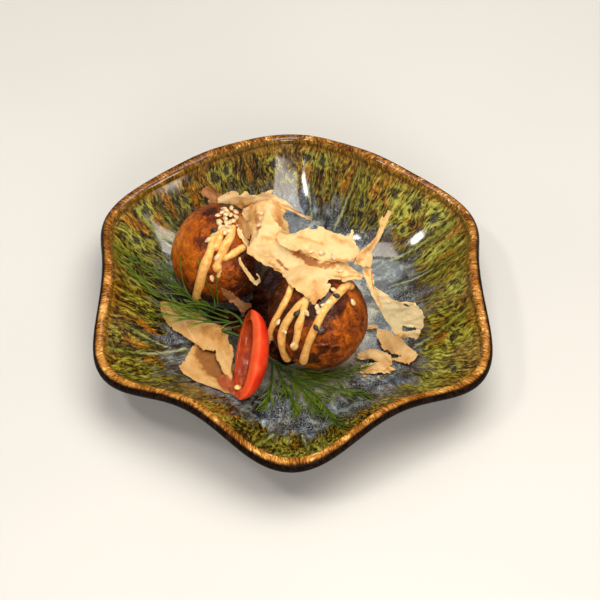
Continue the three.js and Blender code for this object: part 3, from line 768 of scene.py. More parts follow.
def ball_mesh(ball, sauce, browning, laver, pitting):
    bm = bmesh.new()
    bmesh.ops.create_icosphere(bm, subdivisions=7, radius=1)
    layers = {name: bm.verts.layers.float.new(name) for name in ("sauce", "browning", "laver")}
    sauce, browning, laver = caps(sauce), caps(browning), caps(laver)
    offset = Vector((7.3, 1.9, 4.4)) * ball["turn"]
    for vert in bm.verts:
        way = vert.co.normalized()
        rough_edge = 0.35 * noise.noise(way * 6 + offset) + 0.25 * noise.noise(way * 17 + offset)
        wet = max(1 - way.angle(middle) / spread for middle, spread in sauce) + rough_edge
        wet = ease(wet, -0.05, 0.30)
        dry = 1 - 0.6 * wet
        vert[layers["sauce"]] = wet
        green = max((1 - way.angle(middle) / spread for middle, spread in laver), default=-1)
        torn = 1.5 * noise.noise(way * 28 + offset)
        vert[layers["laver"]] = ease(green + 1.6 * rough_edge + torn, 0.0, 0.8)
        # Real browning together with painted light on the lit flank and painted shade low on the balls.
        vert[layers["browning"]] = sum(
            tone * ease(1 - way.angle(middle) / spread, 0, 1) for middle, spread, tone in browning)
        dents = noise.noise(way * 9 + offset) + 0.5 * noise.noise(way * 21 + offset)
        pits = min(0.0, noise.noise(way * 34 - offset) + 0.25)
        wrinkle = 1 - abs(noise.noise(Vector((way.x * 7, way.y * 7, way.z * 2.2)) + offset)) * 3
        relief = pitting * (0.9 * dents + 1.2 * pits - 0.5 * max(0.0, wrinkle)) * dry
        lift = relief + SAUCE_FILM * wet
        vert.co = on_ball(ball, way, lift)
        vert.co.z = max(vert.co.z, dish_height(vert.co.x, vert.co.y) + 0.04)
    return bm


def crust_paint(settings):
    paint = Paint("browned batter and sauce")
    place = paint.place()
    broad = paint.noise(place, 0.075, 3, 0.6, 0.5)
    mottle = paint.noise(place, 0.30, 6, 0.70, 0.6)
    grain = paint.noise(place, 1.5, 3, 0.7)
    tall = paint.vector("MULTIPLY", place, (0.34, 0.34, 0.10))
    streaks = paint.noise(tall, 1, 3, 0.6, 0.4)
    # The browning layer shifts the tone: real browning, and painted light and shade.
    tone = broad * 0.45 + mottle * 0.72 + grain * 0.32 - 0.25 + paint.layer("browning") * 0.17
    colour = paint.ramp(
        tone, (0.26, shade(46, 24, 6)), (0.36, settings.toast), (0.44, shade(136, 62, 14)),
        (0.54, settings.crust), (0.66, shade(206, 114, 24)), (0.80, shade(230, 148, 50)))
    colour = paint.over(colour, paint.fade(streaks, 0.54, 0.70) * 0.55, shade(104, 38, 10))
    pits = paint.cells(place, 0.55)
    colour = paint.over(colour, paint.fade(pits, 0.06, 0.20, 1, 0) * paint.fade(grain, 0.45, 0.6) * 0.55,
                        shade(66, 28, 8))
    laver = paint.ramp(grain, (0.35, shade(30, 30, 10)), (0.65, shade(84, 70, 26)))
    colour = paint.over(colour, paint.layer("laver") * 0.6, laver)
    wet = paint.layer("sauce")
    glazed = paint.ramp(
        mottle * 0.6 + grain * 0.4, (0.34, shade(22, 7, 3)), (0.5, settings.sauce),
        (0.68, shade(104, 40, 12)))
    colour = paint.over(colour, wet * 0.88, glazed)
    rough = paint.fade(wet, 0.0, 0.7, 0.42, 0.15) + (grain - 0.5) * 0.14
    height = grain * 0.4 + mottle * 1.1 - paint.fade(pits, 0.08, 0.26, 0.5, 0) * (1 - wet)
    return paint.finish(colour, Roughness=rough, Normal=paint.bump(height, 0.45, 0.9),
                        Specular_IOR_Level=0.14, Coat_Weight=wet * 0.4 + 0.05, Coat_Roughness=0.14,
                        Subsurface_Weight=0.1, Subsurface_Scale=0.001)


# Dark sauce-coloured drops on the dish that paint the shade between and under the balls: place, half sizes
# in mm, and a turn in degrees.
SHADE_POOL = [((-5.5, 15.0, 4.95), (17.0, 9.5, 0.75), 50), ((-12.5, 4.5, 4.95), (9.0, 6.0, 0.7), 60),
        ((-17.0, -4.5, 4.95), (8.5, 6.0, 0.65), 20), ((-30.0, 0.0, 4.95), (11.0, 6.5, 0.6), 170),
        ((-3.0, -16.0, 4.95), (9.0, 6.5, 0.65), 105), ((-11.0, 25.5, 5.0), (8.5, 7.5, 0.6), 30)]


def shade_pool_paint(settings):
    paint = Paint("sauce-coloured painted shade on the dish")
    place = paint.place()
    thin = paint.noise(place, 0.3, 4, 0.6, 0.5)
    colour = paint.ramp(
        thin, (0.35, shade(26, 10, 4)), (0.5, settings.sauce), (0.62, shade(92, 42, 12)),
        (0.75, shade(128, 72, 26)))
    return paint.finish(colour, Roughness=0.12 + thin * 0.12, Normal=paint.bump(thin, 0.5),
                        Specular_IOR_Level=0.15)


# Lines of mayonnaise: the radius in mm, and the bearings and heights that each runs through.
MAYONNAISE = {
    "left": [
        (2.1, [(-103, 67), (-104, 59), (-106, 44), (-110, 27), (-113, 8), (-118, -12), (-122, -30)]),
        (1.9, [(-34, 71), (-64, 63), (-80, 53), (-89, 41), (-93, 32)]),
        (1.7, [(-36, 46), (-53, 47), (-68, 45), (-79, 43)]),
        (1.5, [(-79, 71), (-91, 63), (-95, 55)]),
        (1.7, [(-40, 72), (-77, 74), (-103, 66)]),
        (0.9, [(-88, 30), (-91, 22)]),
    ],
    "right": [
        (1.5, [(163, 62), (-163, 54), (-154, 35), (-153, 15), (-155, -6)]),
        (1.7, [(-120, 67), (-132, 54), (-135, 37), (-136, 19), (-133, 3), (-130, -22)]),
        (1.6, [(-122, 66), (-118, 53), (-117, 36), (-117, 22), (-117, 9)]),
        (1.9, [(12, 50), (9, 56), (-43, 65), (-82, 55), (-95, 38), (-101, 19), (-106, -9)]),
    ],
}


def add_mayonnaise(bm, ball, number, radius, through):
    """One line of mayonnaise, which sways and swells a little and ends in a bead."""
    ways = [aim(*place) for place in through]

    def path(share):
        way = along(ways, share)
        sway = noise.noise(Vector((share * 4, number * 5.7, 3.3)))
        side = way.cross(Vector((0, 0, 1))).normalized()
        return on_ball(ball, way + side * sway * 0.02, 0.3 * radius)

    def thick(share):
        swell = noise.noise(Vector((share * 5, number * 3.1, ball["turn"])))
        beads = 1 + 0.22 * swell + 0.22 * ease(share, 0.86, 0.97)
        return radius * (0.80 + 0.13 * math.sin(math.pi * share)) * beads

    tube(bm, path, thick, sides=16, steps=60)


def mayonnaise_mesh(ball, lines):
    bm = bmesh.new()
    for number, (radius, through) in enumerate(lines):
        add_mayonnaise(bm, ball, number, radius, through)
    bmesh.ops.recalc_face_normals(bm, faces=bm.faces)
    return bm


def mayonnaise_paint(settings):
    paint = Paint("mayonnaise")
    place = paint.place()
    soft = paint.noise(place, 0.5, 3, 0.6)
    fine = paint.noise(place, 2.2, 2, 0.5)
    colour = paint.ramp(
        soft, (0.28, shade(214, 140, 60)), (0.46, settings.mayonnaise), (0.72, shade(248, 204, 130)))
    rough = 0.34 + (soft - 0.5) * 0.3
    return paint.finish(colour, Roughness=rough, Normal=paint.bump(soft * 0.8 + fine * 0.2, 0.14),
                        Specular_IOR_Level=0.35, Subsurface_Weight=0.4, Subsurface_Scale=0.0015)


# Each sesame seed lies at a bearing and height, and so far over the crust.
SEEDS = {
    "left": [
        (96, 83, 0.6), (76, 71, 0.6), (-3, 83, 1.2), (-23, 77, 1.4), (-77, 77, 1.6), (-49, 75, 1.8),
        (41, 66, 0.6), (28, 76, 1.0), (-3, 74, 0.7), (-57, 69, 2.3), (57, 75, 1.1), (60, 63, 0.5),
        (71, 81, 1.5), (34, 80, 1.6), (19, 70, 0.6), (-98, 19, 0.5), (-92, 44, 2.0), (-114, 61, 1.6),
        (-80, 87, 0.7), (-30, 81, 0.9), (-84, 76, 1.9), (-40, 77, 2.4), (-19, 66, 1.4), (-86, 83, 1.4),
        (-70, 70, 2.4),
    ],
    "right": [
        (-144, 28, 2.0), (-132, 23, 2.0), (-110, 52, 1.2), (-90, 56, 1.5), (-67, 63, 1.8),
        (-32, 71, 1.4), (-21, 46, 0.6), (-93, 59, 1.9), (-118, 13, 2.0), (-78, 61, 1.0),
    ],
}
BLACK_SEEDS = {
    "left": [(56, 48, 0.5), (-108, 73, 1.8), (50, 63, 0.6)],
    "right": [(-124, 48, 2.1), (-45, 65, 2.5), (-93, 39, 3.1)],
}
SEED_TURN = 2.4  # radians from one seed to the next


def seeds_mesh(placed):
    """Flat drops, each at a spot on a face that looks outward, with its spin."""
    bm = bmesh.new()
    for spot, outward, spin in placed:
        turn = Vector((0, 0, 1)).rotation_difference(outward) @ Quaternion((0, 0, 1), spin)
        for vert in bmesh.ops.create_uvsphere(bm, u_segments=12, v_segments=8, radius=1)["verts"]:
            x, y, z = vert.co.z, vert.co.x, vert.co.y
            narrow = 1 - 0.38 * ease(x, -0.2, 1.0)
            vert.co = spot + turn @ Vector((x * SEED[0], y * SEED[1] * narrow, z * SEED[2] * narrow))
    bmesh.ops.recalc_face_normals(bm, faces=bm.faces)
    return bm


def seeds_on(ball, places):
    placed = []
    for number, (*place, lift) in enumerate(places):
        tilt = Vector((math.sin(5.1 * number), math.cos(3.7 * number), 0.3)) * 0.3
        way = aim(*place)
        placed.append((on_ball(ball, way, lift), (way + tilt).normalized(), SEED_TURN * number + 0.4))
    return placed


def seed_paint(name, colour):
    paint = Paint(name)
    place = paint.place()
    blotch = paint.noise(place, 0.7, 2, 0.5)
    dark = tuple(part * 0.62 for part in colour)
    tone = paint.over(dark, paint.fade(blotch, 0.35, 0.6), colour)
    grain = paint.noise(place, 4.0, 2, 0.6)
    return paint.finish(tone, Roughness=0.42 + (grain - 0.5) * 0.2, Normal=paint.bump(grain, 0.08),
                        Subsurface_Weight=0.2, Subsurface_Scale=0.0006)


class MakeBalls(bpy.types.Operator):
    """Make the two browned balls"""

    bl_idname = "takoyaki.balls"
    bl_label = "Balls"

    def execute(self, context):
        settings = context.scene.takoyaki_balls
        paint = crust_paint(settings)
        for side, ball in BALLS.items():
            bm = ball_mesh(ball, SAUCE[side], BROWNING_AND_SHADING[side], LAVER[side], settings.pitting)
            make_piece(f"ball_{side}_crust", bm, paint, f"ball_{side}")
        # Dark sauce-coloured drops on the floor of the dish, as painted shade between and under the balls.
        pool = drops_mesh(SHADE_POOL, lumps=0.35)
        make_piece("shade_pool_sheet", pool, shade_pool_paint(settings), "ball_right")
        return {"FINISHED"}


class MakeMayonnaise(bpy.types.Operator):
    """Make the lines of mayonnaise over the balls"""

    bl_idname = "takoyaki.mayonnaise"
    bl_label = "Mayonnaise"

    def execute(self, context):
        paint = mayonnaise_paint(context.scene.takoyaki_balls)
        for side, ball in BALLS.items():
            bm = mayonnaise_mesh(ball, MAYONNAISE[side])
            make_piece(f"mayonnaise_{side}", bm, paint, f"ball_{side}")
        return {"FINISHED"}


class MakeSesame(bpy.types.Operator):
    """Make the pale and the black sesame seeds"""

    bl_idname = "takoyaki.sesame"
    bl_label = "Sesame"

    def execute(self, context):
        settings = context.scene.takoyaki_balls
        kinds = (("", SEEDS, seed_paint("hulled sesame", settings.seed)),
                 ("_black", BLACK_SEEDS, seed_paint("black sesame", settings.black_seed)))
        for side, ball in BALLS.items():
            for ending, places, paint in kinds:
                bm = seeds_mesh(seeds_on(ball, places[side]))
                make_piece(f"sesame_{side}{ending}", bm, paint, f"ball_{side}")
        return {"FINISHED"}


# ---- bonito flakes ------------------------------------------------------------------------------

# Each flake has ribs across it, each through two points or more. Its waves are so deep, and it rests so
# high off a ball. Its tint goes from pale, 0, over tan, 1, to brown, 2. Its outline, its holes and its
# seeds are in percent of its length and width. So are its marks of painted shade and light, with some real
# stains: start, end, width in mm, and how much darker, or paler if below 0, the flake is there. The dark
# marks paint shade under folds and overlaps, and the pale ones paint light on ridges and edges. Shreds
# are torn strips, given by their ribs.
FLAKES = {
    "back_band": {"wave": 0.5, "rest": 0.9, "tint": 0.3,
        "ribs": [[[-29.5, 31, 46], [-30.5, 29.5, 40]], [[-20.5, 29, 50], [-21, 27, 43]],
            [[-11.5, 26.5, 52], [-11.5, 25, 46.5]], [[-1.5, 25, 50], [-2, 22.5, 46.5]],
            [[8.5, 20.5, 44], [8, 19.5, 43]]],
        "outline": [(0, 7), (7, -1), (14, -8), (22, 3), (26, 22), (30, -4), (34, 7), (34, 23), (40, 24),
            (46, 25), (51, -1), (56, -23), (61, -32), (61, -13), (59, 3), (65, 22), (74, 22), (78, 35),
            (83, 56), (89, 73), (94, 60), (99, 16), (100, 89), (93, 104), (86, 102), (79, 106), (72, 93),
            (63, 88), (55, 99), (44, 115), (34, 119), (28, 116), (21, 95), (14, 79), (5, 67), (0, 77)],
        "shade_and_stains": [((6, 104), (25, 82), 3.0, 0.8), ((31, 95), (72, 81), 2.2, 0.7),
            ((85, 79), (99, 58), 2.0, 0.5), ((36, 45), (74, 34), 1.8, -0.5)],
    },
    "back_lobe": {"wave": 0.2, "rest": 0.9, "tint": 1.75,
        "ribs": [[[-37, 33.5, 44], [-35.5, 30.5, 39.5]], [[-34.5, 34.5, 46], [-33, 30, 40]],
            [[-31, 32.5, 44.5], [-31, 30, 40.5]]],
        "outline": [(7, -2), (17, -16), (40, -8), (70, -16), (89, -27), (96, -13), (115, -38), (145, 23),
            (138, 58), (105, 70), (67, 80), (48, 77), (43, 55), (20, 38), (5, 18)],
    },
    "tent": {"wave": 0.35, "rest": 1.2, "tint": 0.35,
        "seeds": [(41, 28), (37, 40), (34, 50)],
        "ribs": [[[-20.5, 23, 43], [-19.5, 12, 43], [-18, 4, 39]],
            [[-15.5, 22.5, 48], [-14.5, 10.5, 48], [-14, 2, 41.5]],
            [[-10, 22, 50], [-9, 12.5, 49.5], [-8.5, 3, 44]],
            [[-5.5, 21.5, 48.5], [-4, 13.5, 47.5], [-3, 5, 43.5]],
            [[-1.5, 21, 44.5], [-0.5, 14.5, 43.5], [1, 8, 41.5]]],
        "outline": [(6, -9), (16, -6), (32, -6), (50, -10), (72, -17), (93, -26), (102, -25), (99, -10),
            (84, 13), (81, 29), (88, 39), (93, 58), (101, 73), (90, 103), (70, 116), (50, 113), (33, 108),
            (19, 98), (7, 88), (14, 74), (19, 66), (16, 51), (9, 26), (3, 7)],
        "shade_and_stains": [((30, 15), (31, 60), 1.2, 0.9), ((54, 2), (46, 48), 1.6, -0.9),
            ((46, 48), (36, 70), 2.4, -0.9), ((36, 70), (30, 96), 4.0, -0.8),
            ((38, 71), (61, 101), 4.0, -0.5), ((23, 7), (24, 48), 3.5, 0.6),
            ((75, -8), (69, 61), 3.6, 0.9), ((20, -4), (95, -27), 1.6, 0.6)],
        "shreds": [[[[-22.4, 11.6, 45.9], [-21.2, 13, 45.9]], [[-20.8, 9, 44.6], [-19.2, 10.9, 44.7]],
            [[-18.4, 6.9, 42.8], [-17, 8.7, 42.9]], [[-17.2, 5.3, 41.5], [-15.6, 7, 41.5]]],
            [[[-21.5, 2.2, 40.3], [-20.1, 2.5, 39.9]], [[-20.5, 0.1, 37.8], [-19, 0.8, 37.6]],
            [[-18, -1.3, 34], [-16.8, -0.4, 34.5]], [[-16.4, -2.6, 31.5], [-15.1, -1.5, 31.8]],
            [[-14.1, -2.8, 29], [-13.9, -1.9, 31]], [[-12, -1.7, 30.2], [-13.4, -1.8, 32.2]],
            [[-13.2, -1, 34.2], [-14.4, -1.6, 33.8]]]],
    },
    "leaf": {"wave": 0.1, "tint": 1.45,
        "ribs": [[[-21.5, 19, 45.5], [-20, 18.5, 47]], [[-20.5, 14, 45.5], [-17, 13, 48.5]],
            [[-18, 9, 44.5], [-15.5, 8.5, 47]]],
        "outline": [(-4, 45), (8, 113), (38, 100), (79, 104), (102, 105), (119, 35), (100, 8), (77, 1),
            (53, -2), (24, -7)],
        "shade_and_stains": [((1, 33), (96, 9), 1.0, 0.6)],
    },
    "centre": {"wave": 0.4, "rest": 2.6, "tint": 0.2,
        "seeds": [(90, 85)],
        "ribs": [[[-9, 19, 52.5], [-5.5, 17.5, 52.5]], [[-11.5, 10, 52], [-4.5, 9.5, 50.5]],
            [[-16.5, 3.5, 46.5], [-3, 4.5, 47.5]], [[-12.5, -2, 39], [0.5, 0.5, 46.5]],
            [[-2.5, -9, 40], [6, -3.5, 47]], [[1.5, -22.5, 42], [12, -7, 47.5]],
            [[10.5, -25, 42], [18.5, -8.5, 47.5]], [[20, -17.5, 44.5], [24, -10, 46.5]]],
        "outline": [(33, -11), (36, 1), (41, 12), (46, 17), (51, 13), (59, 2), (63, 7), (66, 12),
            (71, 18), (76, 16), (80, 8), (82, 4), (84, -1), (85, 1), (85, 7), (86, 4), (86, 11), (88, 11),
            (89, 20), (88, 32), (85, 39), (85, 48), (89, 50), (95, 45), (98, 20), (104, 16), (109, 24),
            (111, 50), (110, 73), (103, 103), (96, 112), (89, 120), (73, 126), (56, 145), (32, 143),
            (21, 126), (16, 100), (9, 59), (2, 0), (11, -6), (23, 16), (30, 2)],
        "shade_and_stains": [((48, 95), (65, 92), 2.8, 2.0), ((62, 86), (82, 94), 2.5, 1.6),
            ((45, 49), (55, 28), 0.9, 2.4), ((43, 31), (57, 5), 1.2, 0.8),
            ((25, 35), (29, 119), 1.6, 0.5), ((38, 73), (53, 61), 5.0, -0.4),
            ((89, 61), (110, 52), 1.8, 0.8), ((94, 97), (107, 74), 2.0, 0.6),
            ((73, 32), (83, 6), 5.0, 0.45), ((80, 40), (86, 11), 3.5, 0.5),
            ((82, 83), (95, 84), 3.0, -0.3), ((36, 2), (52, 19), 1.0, 0.5)],
    },
    "upper": {"wave": 0.5, "rest": 4.2, "tint": 0.25,
        "seeds": [(66, 71), (77, 75), (55, 74)],
        "ribs": [[[-7.5, 3, 49], [-6.5, -0.5, 47.5]], [[-1, 5, 50.5], [0, -1, 48]],
            [[6, 7.5, 52], [6.5, -6.5, 48.5]], [[15.5, 5.5, 52.5], [16, -10.5, 48.5]],
            [[25, 6, 51.5], [27, -12, 48.5]]],
        "outline": [(14, -35), (21, -2), (30, 5), (37, 12), (46, 10), (52, 3), (54, -3), (54, 6), (60, 7),
            (64, -5), (67, -5), (69, 1), (75, 2), (81, 9), (90, 16), (94, 13), (96, -3), (99, 0), (99, 9),
            (98, 24), (100, 40), (103, 49), (98, 68), (95, 82), (87, 83), (81, 82), (71, 85), (64, 89),
            (56, 87), (50, 83), (40, 82), (33, 99), (23, 104), (15, 83), (8, 32), (7, -18)],
        "shade_and_stains": [((72, 82), (94, 79), 1.6, 0.9), ((17, 29), (40, 69), 3.0, -0.2),
            ((41, 34), (66, 43), 1.4, 0.6), ((77, 16), (95, 40), 1.6, 0.5),
            ((48, 79), (60, 84), 1.2, 0.6)],
    },
    "standing": {"wave": 0.2, "tint": 0.35,
        "ribs": [[[24, -9.5, 50], [32, -11, 47.5]], [[27.5, -6.5, 53.5], [33.5, -7, 51.5]],
            [[31.5, -4, 57], [34.5, -5, 55]], [[34.5, 0, 61], [36.5, -0.5, 60]],
            [[37.5, 3.5, 64.4], [39, 3.5, 64.4]]],
        "outline": [(0, 8), (13, -1), (22, -1), (35, 3), (47, 11), (56, 14), (66, 17), (73, 19),
            (79, -28), (89, -67), (92, -48), (87, 12), (95, -8), (102, -2), (104, 36), (100, 105),
            (93, 93), (87, 104), (82, 91), (79, 117), (71, 91), (62, 76), (54, 68), (41, 61), (25, 72),
            (11, 85), (1, 85), (-1, 58), (-1, 29)],
        "shade_and_stains": [((5, 14), (47, 37), 2.2, 0.9), ((56, 31), (99, 43), 0.9, 0.5)],
    },
    # Its tint of 0 and its paler marks are painted light on this steep sheet, which faces away from the
    # lamps.
    "right": {"wave": 0.35, "tint": 0.0,
        "ribs": [[[23.5, -14, 47.5], [29.5, -10, 47]], [[29.5, -15, 44], [34, -14.5, 43.5]],
            [[33.5, -17.5, 36], [41, -17.5, 38]], [[38, -19, 27], [47, -17, 35]],
            [[43, -19.5, 18], [52.5, -16.5, 30]]],
        "outline": [(-5, 94), (0, 110), (2, 128), (13, 107), (30, 43), (36, 64), (40, 79), (45, 88),
            (52, 70), (58, 87), (65, 98), (75, 103), (84, 102), (95, 95), (105, 88), (114, 73), (117, 63),
            (120, 46), (123, 38), (123, 27), (119, 27), (114, 20), (108, 7), (103, 0), (93, -6), (82, -8),
            (67, -6), (52, -1), (40, -10), (30, -14), (14, 39)],
        "holes": [[(95, 20), (102, 37), (112, 49), (113, 42), (108, 27), (102, 16)], [(65, 89), (71, 90),
            (82, 87), (79, 80), (72, 79)]],
        "shade_and_stains": [((77, 30), (101, 52), 9.0, -1.3), ((23, 75), (78, 16), 5.0, -0.9),
            ((5, 88), (57, 9), 1.8, 0.6), ((5, 124), (34, 23), 0.6, 1.5), ((50, 40), (88, 85), 4.0, -0.6),
            ((105, 9), (121, 38), 1.6, 0.7), ((77, -8), (100, 2), 1.6, 0.5)],
    },
    "floor_right": {"wave": 0.35, "tint": 0.7,
        "ribs": [[[35.5, -9.5, 8], [33.5, -18.5, 7]], [[39.5, -9, 9], [40, -22.5, 7]],
            [[44, -13.5, 9], [45, -26.5, 8]], [[50.5, -21.5, 10], [50.5, -23.5, 10]]],
        "outline": [(-6, -10), (16, -2), (45, 11), (68, 1), (76, 6), (85, 15), (99, 30), (103, 105),
            (98, 144), (87, 122), (78, 112), (69, 97), (54, 94), (39, 106), (35, 100), (55, 82), (66, 72),
            (50, 77), (36, 82), (29, 76), (20, 81), (13, 69), (7, 44), (-3, 25)],
        "holes": [[(43, 88), (67, 69), (66, 73), (46, 90)]],
        "shade_and_stains": [((20, 35), (39, 76), 3.0, 0.5), ((62, 33), (94, 77), 2.5, -0.3)],
    },
    "crumb_upper": {"wave": 0.3, "tint": 0.5,
        "ribs": [[[25.5, -20, 7], [26.5, -22, 6.5]], [[30, -18.5, 8.5], [32, -23.5, 7.5]],
            [[36, -19.5, 8.5], [37, -25, 7.5]], [[41.5, -22, 9], [41, -27.5, 7.5]]],
        "outline": [(-1, 88), (11, 36), (29, 23), (47, 13), (65, 12), (82, 17), (92, 26), (97, 52),
            (96, 92), (82, 117), (65, 115), (45, 115), (32, 102), (12, 127), (1, 128)],
        "shade_and_stains": [((9, 86), (44, 103), 1.4, 0.6), ((83, 67), (93, 88), 1.5, 0.7)],
    },
    "crumb_lower": {"wave": 0.25, "tint": 0.5,
        "ribs": [[[27, -28, 7.5], [27.5, -31.5, 6.5]], [[32, -26, 9], [33, -32, 7]],
            [[37, -27, 8.5], [37.5, -32, 7]], [[42, -29, 8.5], [42, -32, 7]]],
        "outline": [(1, 42), (9, 8), (22, 9), (38, 11), (55, -6), (71, -5), (87, 1), (96, 17), (88, 66),
            (74, 76), (53, 76), (38, 88), (26, 77), (16, 70), (4, 78)],
        "shade_and_stains": [((12, 58), (66, 57), 1.0, 0.7), ((75, 35), (86, 47), 1.4, 1.2)],
    },
    "left": {"wave": 0.35, "tint": 0.95,
        "ribs": [[[-54, 3, 13], [-53, -4.5, 10.5]], [[-44, -1.5, 13.5], [-47, -10.5, 9]],
            [[-34.5, -7, 13], [-38, -15.5, 8.5]], [[-26, -14, 12], [-31.5, -19, 9]],
            [[-24, -22, 11], [-28, -26, 9.5]], [[-23, -30, 10.5], [-25, -33, 10]]],
        "outline": [(-1, 38), (2, 9), (6, -5), (11, -5), (16, -4), (25, -7), (32, -1), (42, 7), (47, 1),
            (50, -6), (54, -10), (58, -12), (63, 2), (68, 11), (80, -15), (89, -13), (97, 36), (108, 53),
            (109, 125), (102, 146), (92, 134), (83, 123), (74, 120), (66, 112), (59, 121), (54, 125),
            (52, 132), (45, 116), (39, 108), (31, 102), (25, 97), (13, 100), (3, 105), (-1, 87)],
        "holes": [[(61, 105), (64, 97), (69, 105), (68, 116)]],
        "shade_and_stains": [((22, 40), (38, 103), 0.55, -1.3), ((45, 47), (78, 30), 4.5, 0.8),
            ((81, 107), (107, 95), 1.4, -0.8)],
    },
    "floor_left": {"wave": 0.15, "tint": 0.95,
        "ribs": [[[-37.5, -15.5, 6.5], [-44, -29.5, 7]], [[-32, -19.5, 6.5], [-37, -35, 8]],
            [[-27, -22.5, 7], [-27, -40, 9]], [[-21, -24, 7], [-18, -44, 9.5]]],
        "outline": [(-9, -1), (-11, 17), (-5, 46), (-5, 78), (-5, 97), (5, 106), (21, 107), (33, 108),
            (43, 109), (53, 110), (61, 113), (71, 111), (83, 102), (93, 87), (93, 43), (84, 2), (68, -26),
            (31, -27), (10, -13)],
        "shade_and_stains": [((26, 14), (71, 56), 9.0, 3.4), ((3, 99), (66, 109), 0.9, -1.5),
            ((-14, 23), (3, 77), 3.0, -0.3)],
    },
    "between": {"wave": 0.15, "rest": 0.7, "tint": 1.8,
        "ribs": [[[-28, -2.5, 28.5], [-26, -2, 30]], [[-24.5, -2, 20.5], [-22.5, -1.5, 23]],
            [[-17, -4.5, 13.5], [-16, -2.5, 15]]],
        "outline": [(-4, -13), (9, 37), (31, 75), (60, 67), (76, 81), (84, 87), (96, 133), (100, 114),
            (93, 37), (89, -44), (83, -72), (76, -47), (65, -39), (51, -42), (37, -39), (18, -30)],
        "shade_and_stains": [((21, 17), (80, 13), 1.2, -0.7)],
    },
}

# Loose bits of bonito: place, half sizes in mm, and a turn in degrees.
BITS = [((38.5, -37.6, 7.3), (1.0, 0.7, 0.4), 30), ((29.5, -31.6, 6.4), (0.7, 0.4, 0.4), 0),
        ((34.9, -32.2, 6.8), (0.6, 0.5, 0.3), 80), ((33.0, -6.0, 6.6), (2.1, 0.9, 0.6), 8),
        ((24.0, -30.5, 6.0), (0.5, 0.4, 0.3), 0)]
FRAY = ((2.4, 0.6), (0.9, 0.5), (0.4, 0.25))  # lengths and depths of the tears along an edge, in mm
FRAY_STEP = 0.2
STRIP = {"wave": 0, "rest": 0.8,  # what all shreds have in common
         "outline": [(0, 20), (30, 0), (70, 5), (100, 30), (100, 75), (70, 100), (30, 95), (0, 80)]}
SCRAP_FACES = 14  # an island of fewer faces than this is no part of a flake
EDGE_SMOOTHINGS = 2
CURL_RINGS = 8  # an edge turns up over this many faces
CURL = 0.5  # and by this much, in mm
SHADE_AND_STAIN_TEAR = 1.6  # how far the outline of a painted shade or stain mark strays, in mm
SEED_BED = Vector((0, 0, 0.6))  # from a flake's middle to that of a seed on it
SEED_LEAN = Vector((0.1, -0.2, 1)).normalized()


def flake_surface(flake):
    """The middle surface of a flake at a share of its length and width, with its folds and without."""
    rails = [list(points) for points in zip(*(vectors(rib) for rib in flake["ribs"]))]
    rest = flake.get("rest", FLAKE_REST)

    def spot(u, v):
        return along([along(rail, u) for rail in rails], v)

    def surface(u, v):
        point = spot(u, v)
        ahead = spot(u + 0.02, v) - spot(u - 0.02, v)
        aside = spot(u, v + 0.02) - spot(u, v - 0.02)
        outward = ahead.cross(aside).normalized()
        ripple = flake["wave"] * math.sin(11 * u + 4 * v) * math.cos(5 * v - 3 * u)
        crumple = 0.7 * noise.noise(point * 0.16) + 0.34 * noise.noise(point * 0.45)
        crumple += 0.14 * abs(noise.noise(point * 1.1))
        return keep_clear(point + outward * (ripple + crumple), rest, GAP + FLAKE_THICKNESS / 2)

    return surface, spot


def shares(spots):
    return [(u / 100, v / 100) for u, v in spots]


def laid_flat(spots, length, width):
    """Spots in mm along and across a flake, from ones in percent of its size."""
    return [Vector((u * length, v * width)) for u, v in shares(spots)]


def frayed(outline, length, width, seed):
    """A closed outline in mm along and across a flake, torn a little, from one in percent of its size."""
    corners = laid_flat(outline, length, width)
    line = []
    for here, there in zip(corners, [*corners[1:], corners[0]]):
        steps = max(1, round((there - here).length / FRAY_STEP))
        for i in range(steps):
            spot = here.lerp(there, i / steps)
            tear = Vector((0, 0))
            for size, depth in FRAY:
                sample = Vector((spot.x / size, spot.y / size, seed))
                tear += Vector((noise.noise(sample), noise.noise(sample + Vector((37, 11, 5))))) * depth
            line.append(spot + tear)
    return line


def crossings(line, across):
    """Where a closed line is crossed by the one that runs lengthwise at this distance across."""
    found = []
    for here, there in zip(line, [*line[1:], line[0]]):
        if (here.y > across) != (there.y > across):
            found.append(here.x + (there.x - here.x) * (across - here.y) / (there.y - here.y))
    return found


def flake_size(spot):
    middles = [spot(i / 12, 0.5) for i in range(13)]
    length = sum((there - here).length for here, there in zip(middles, middles[1:]))
    width = max(sum((spot(u / 6, v / 4) - spot(u / 6, v / 4 + 0.25)).length for v in range(4))
                for u in range(7))
    return length, width


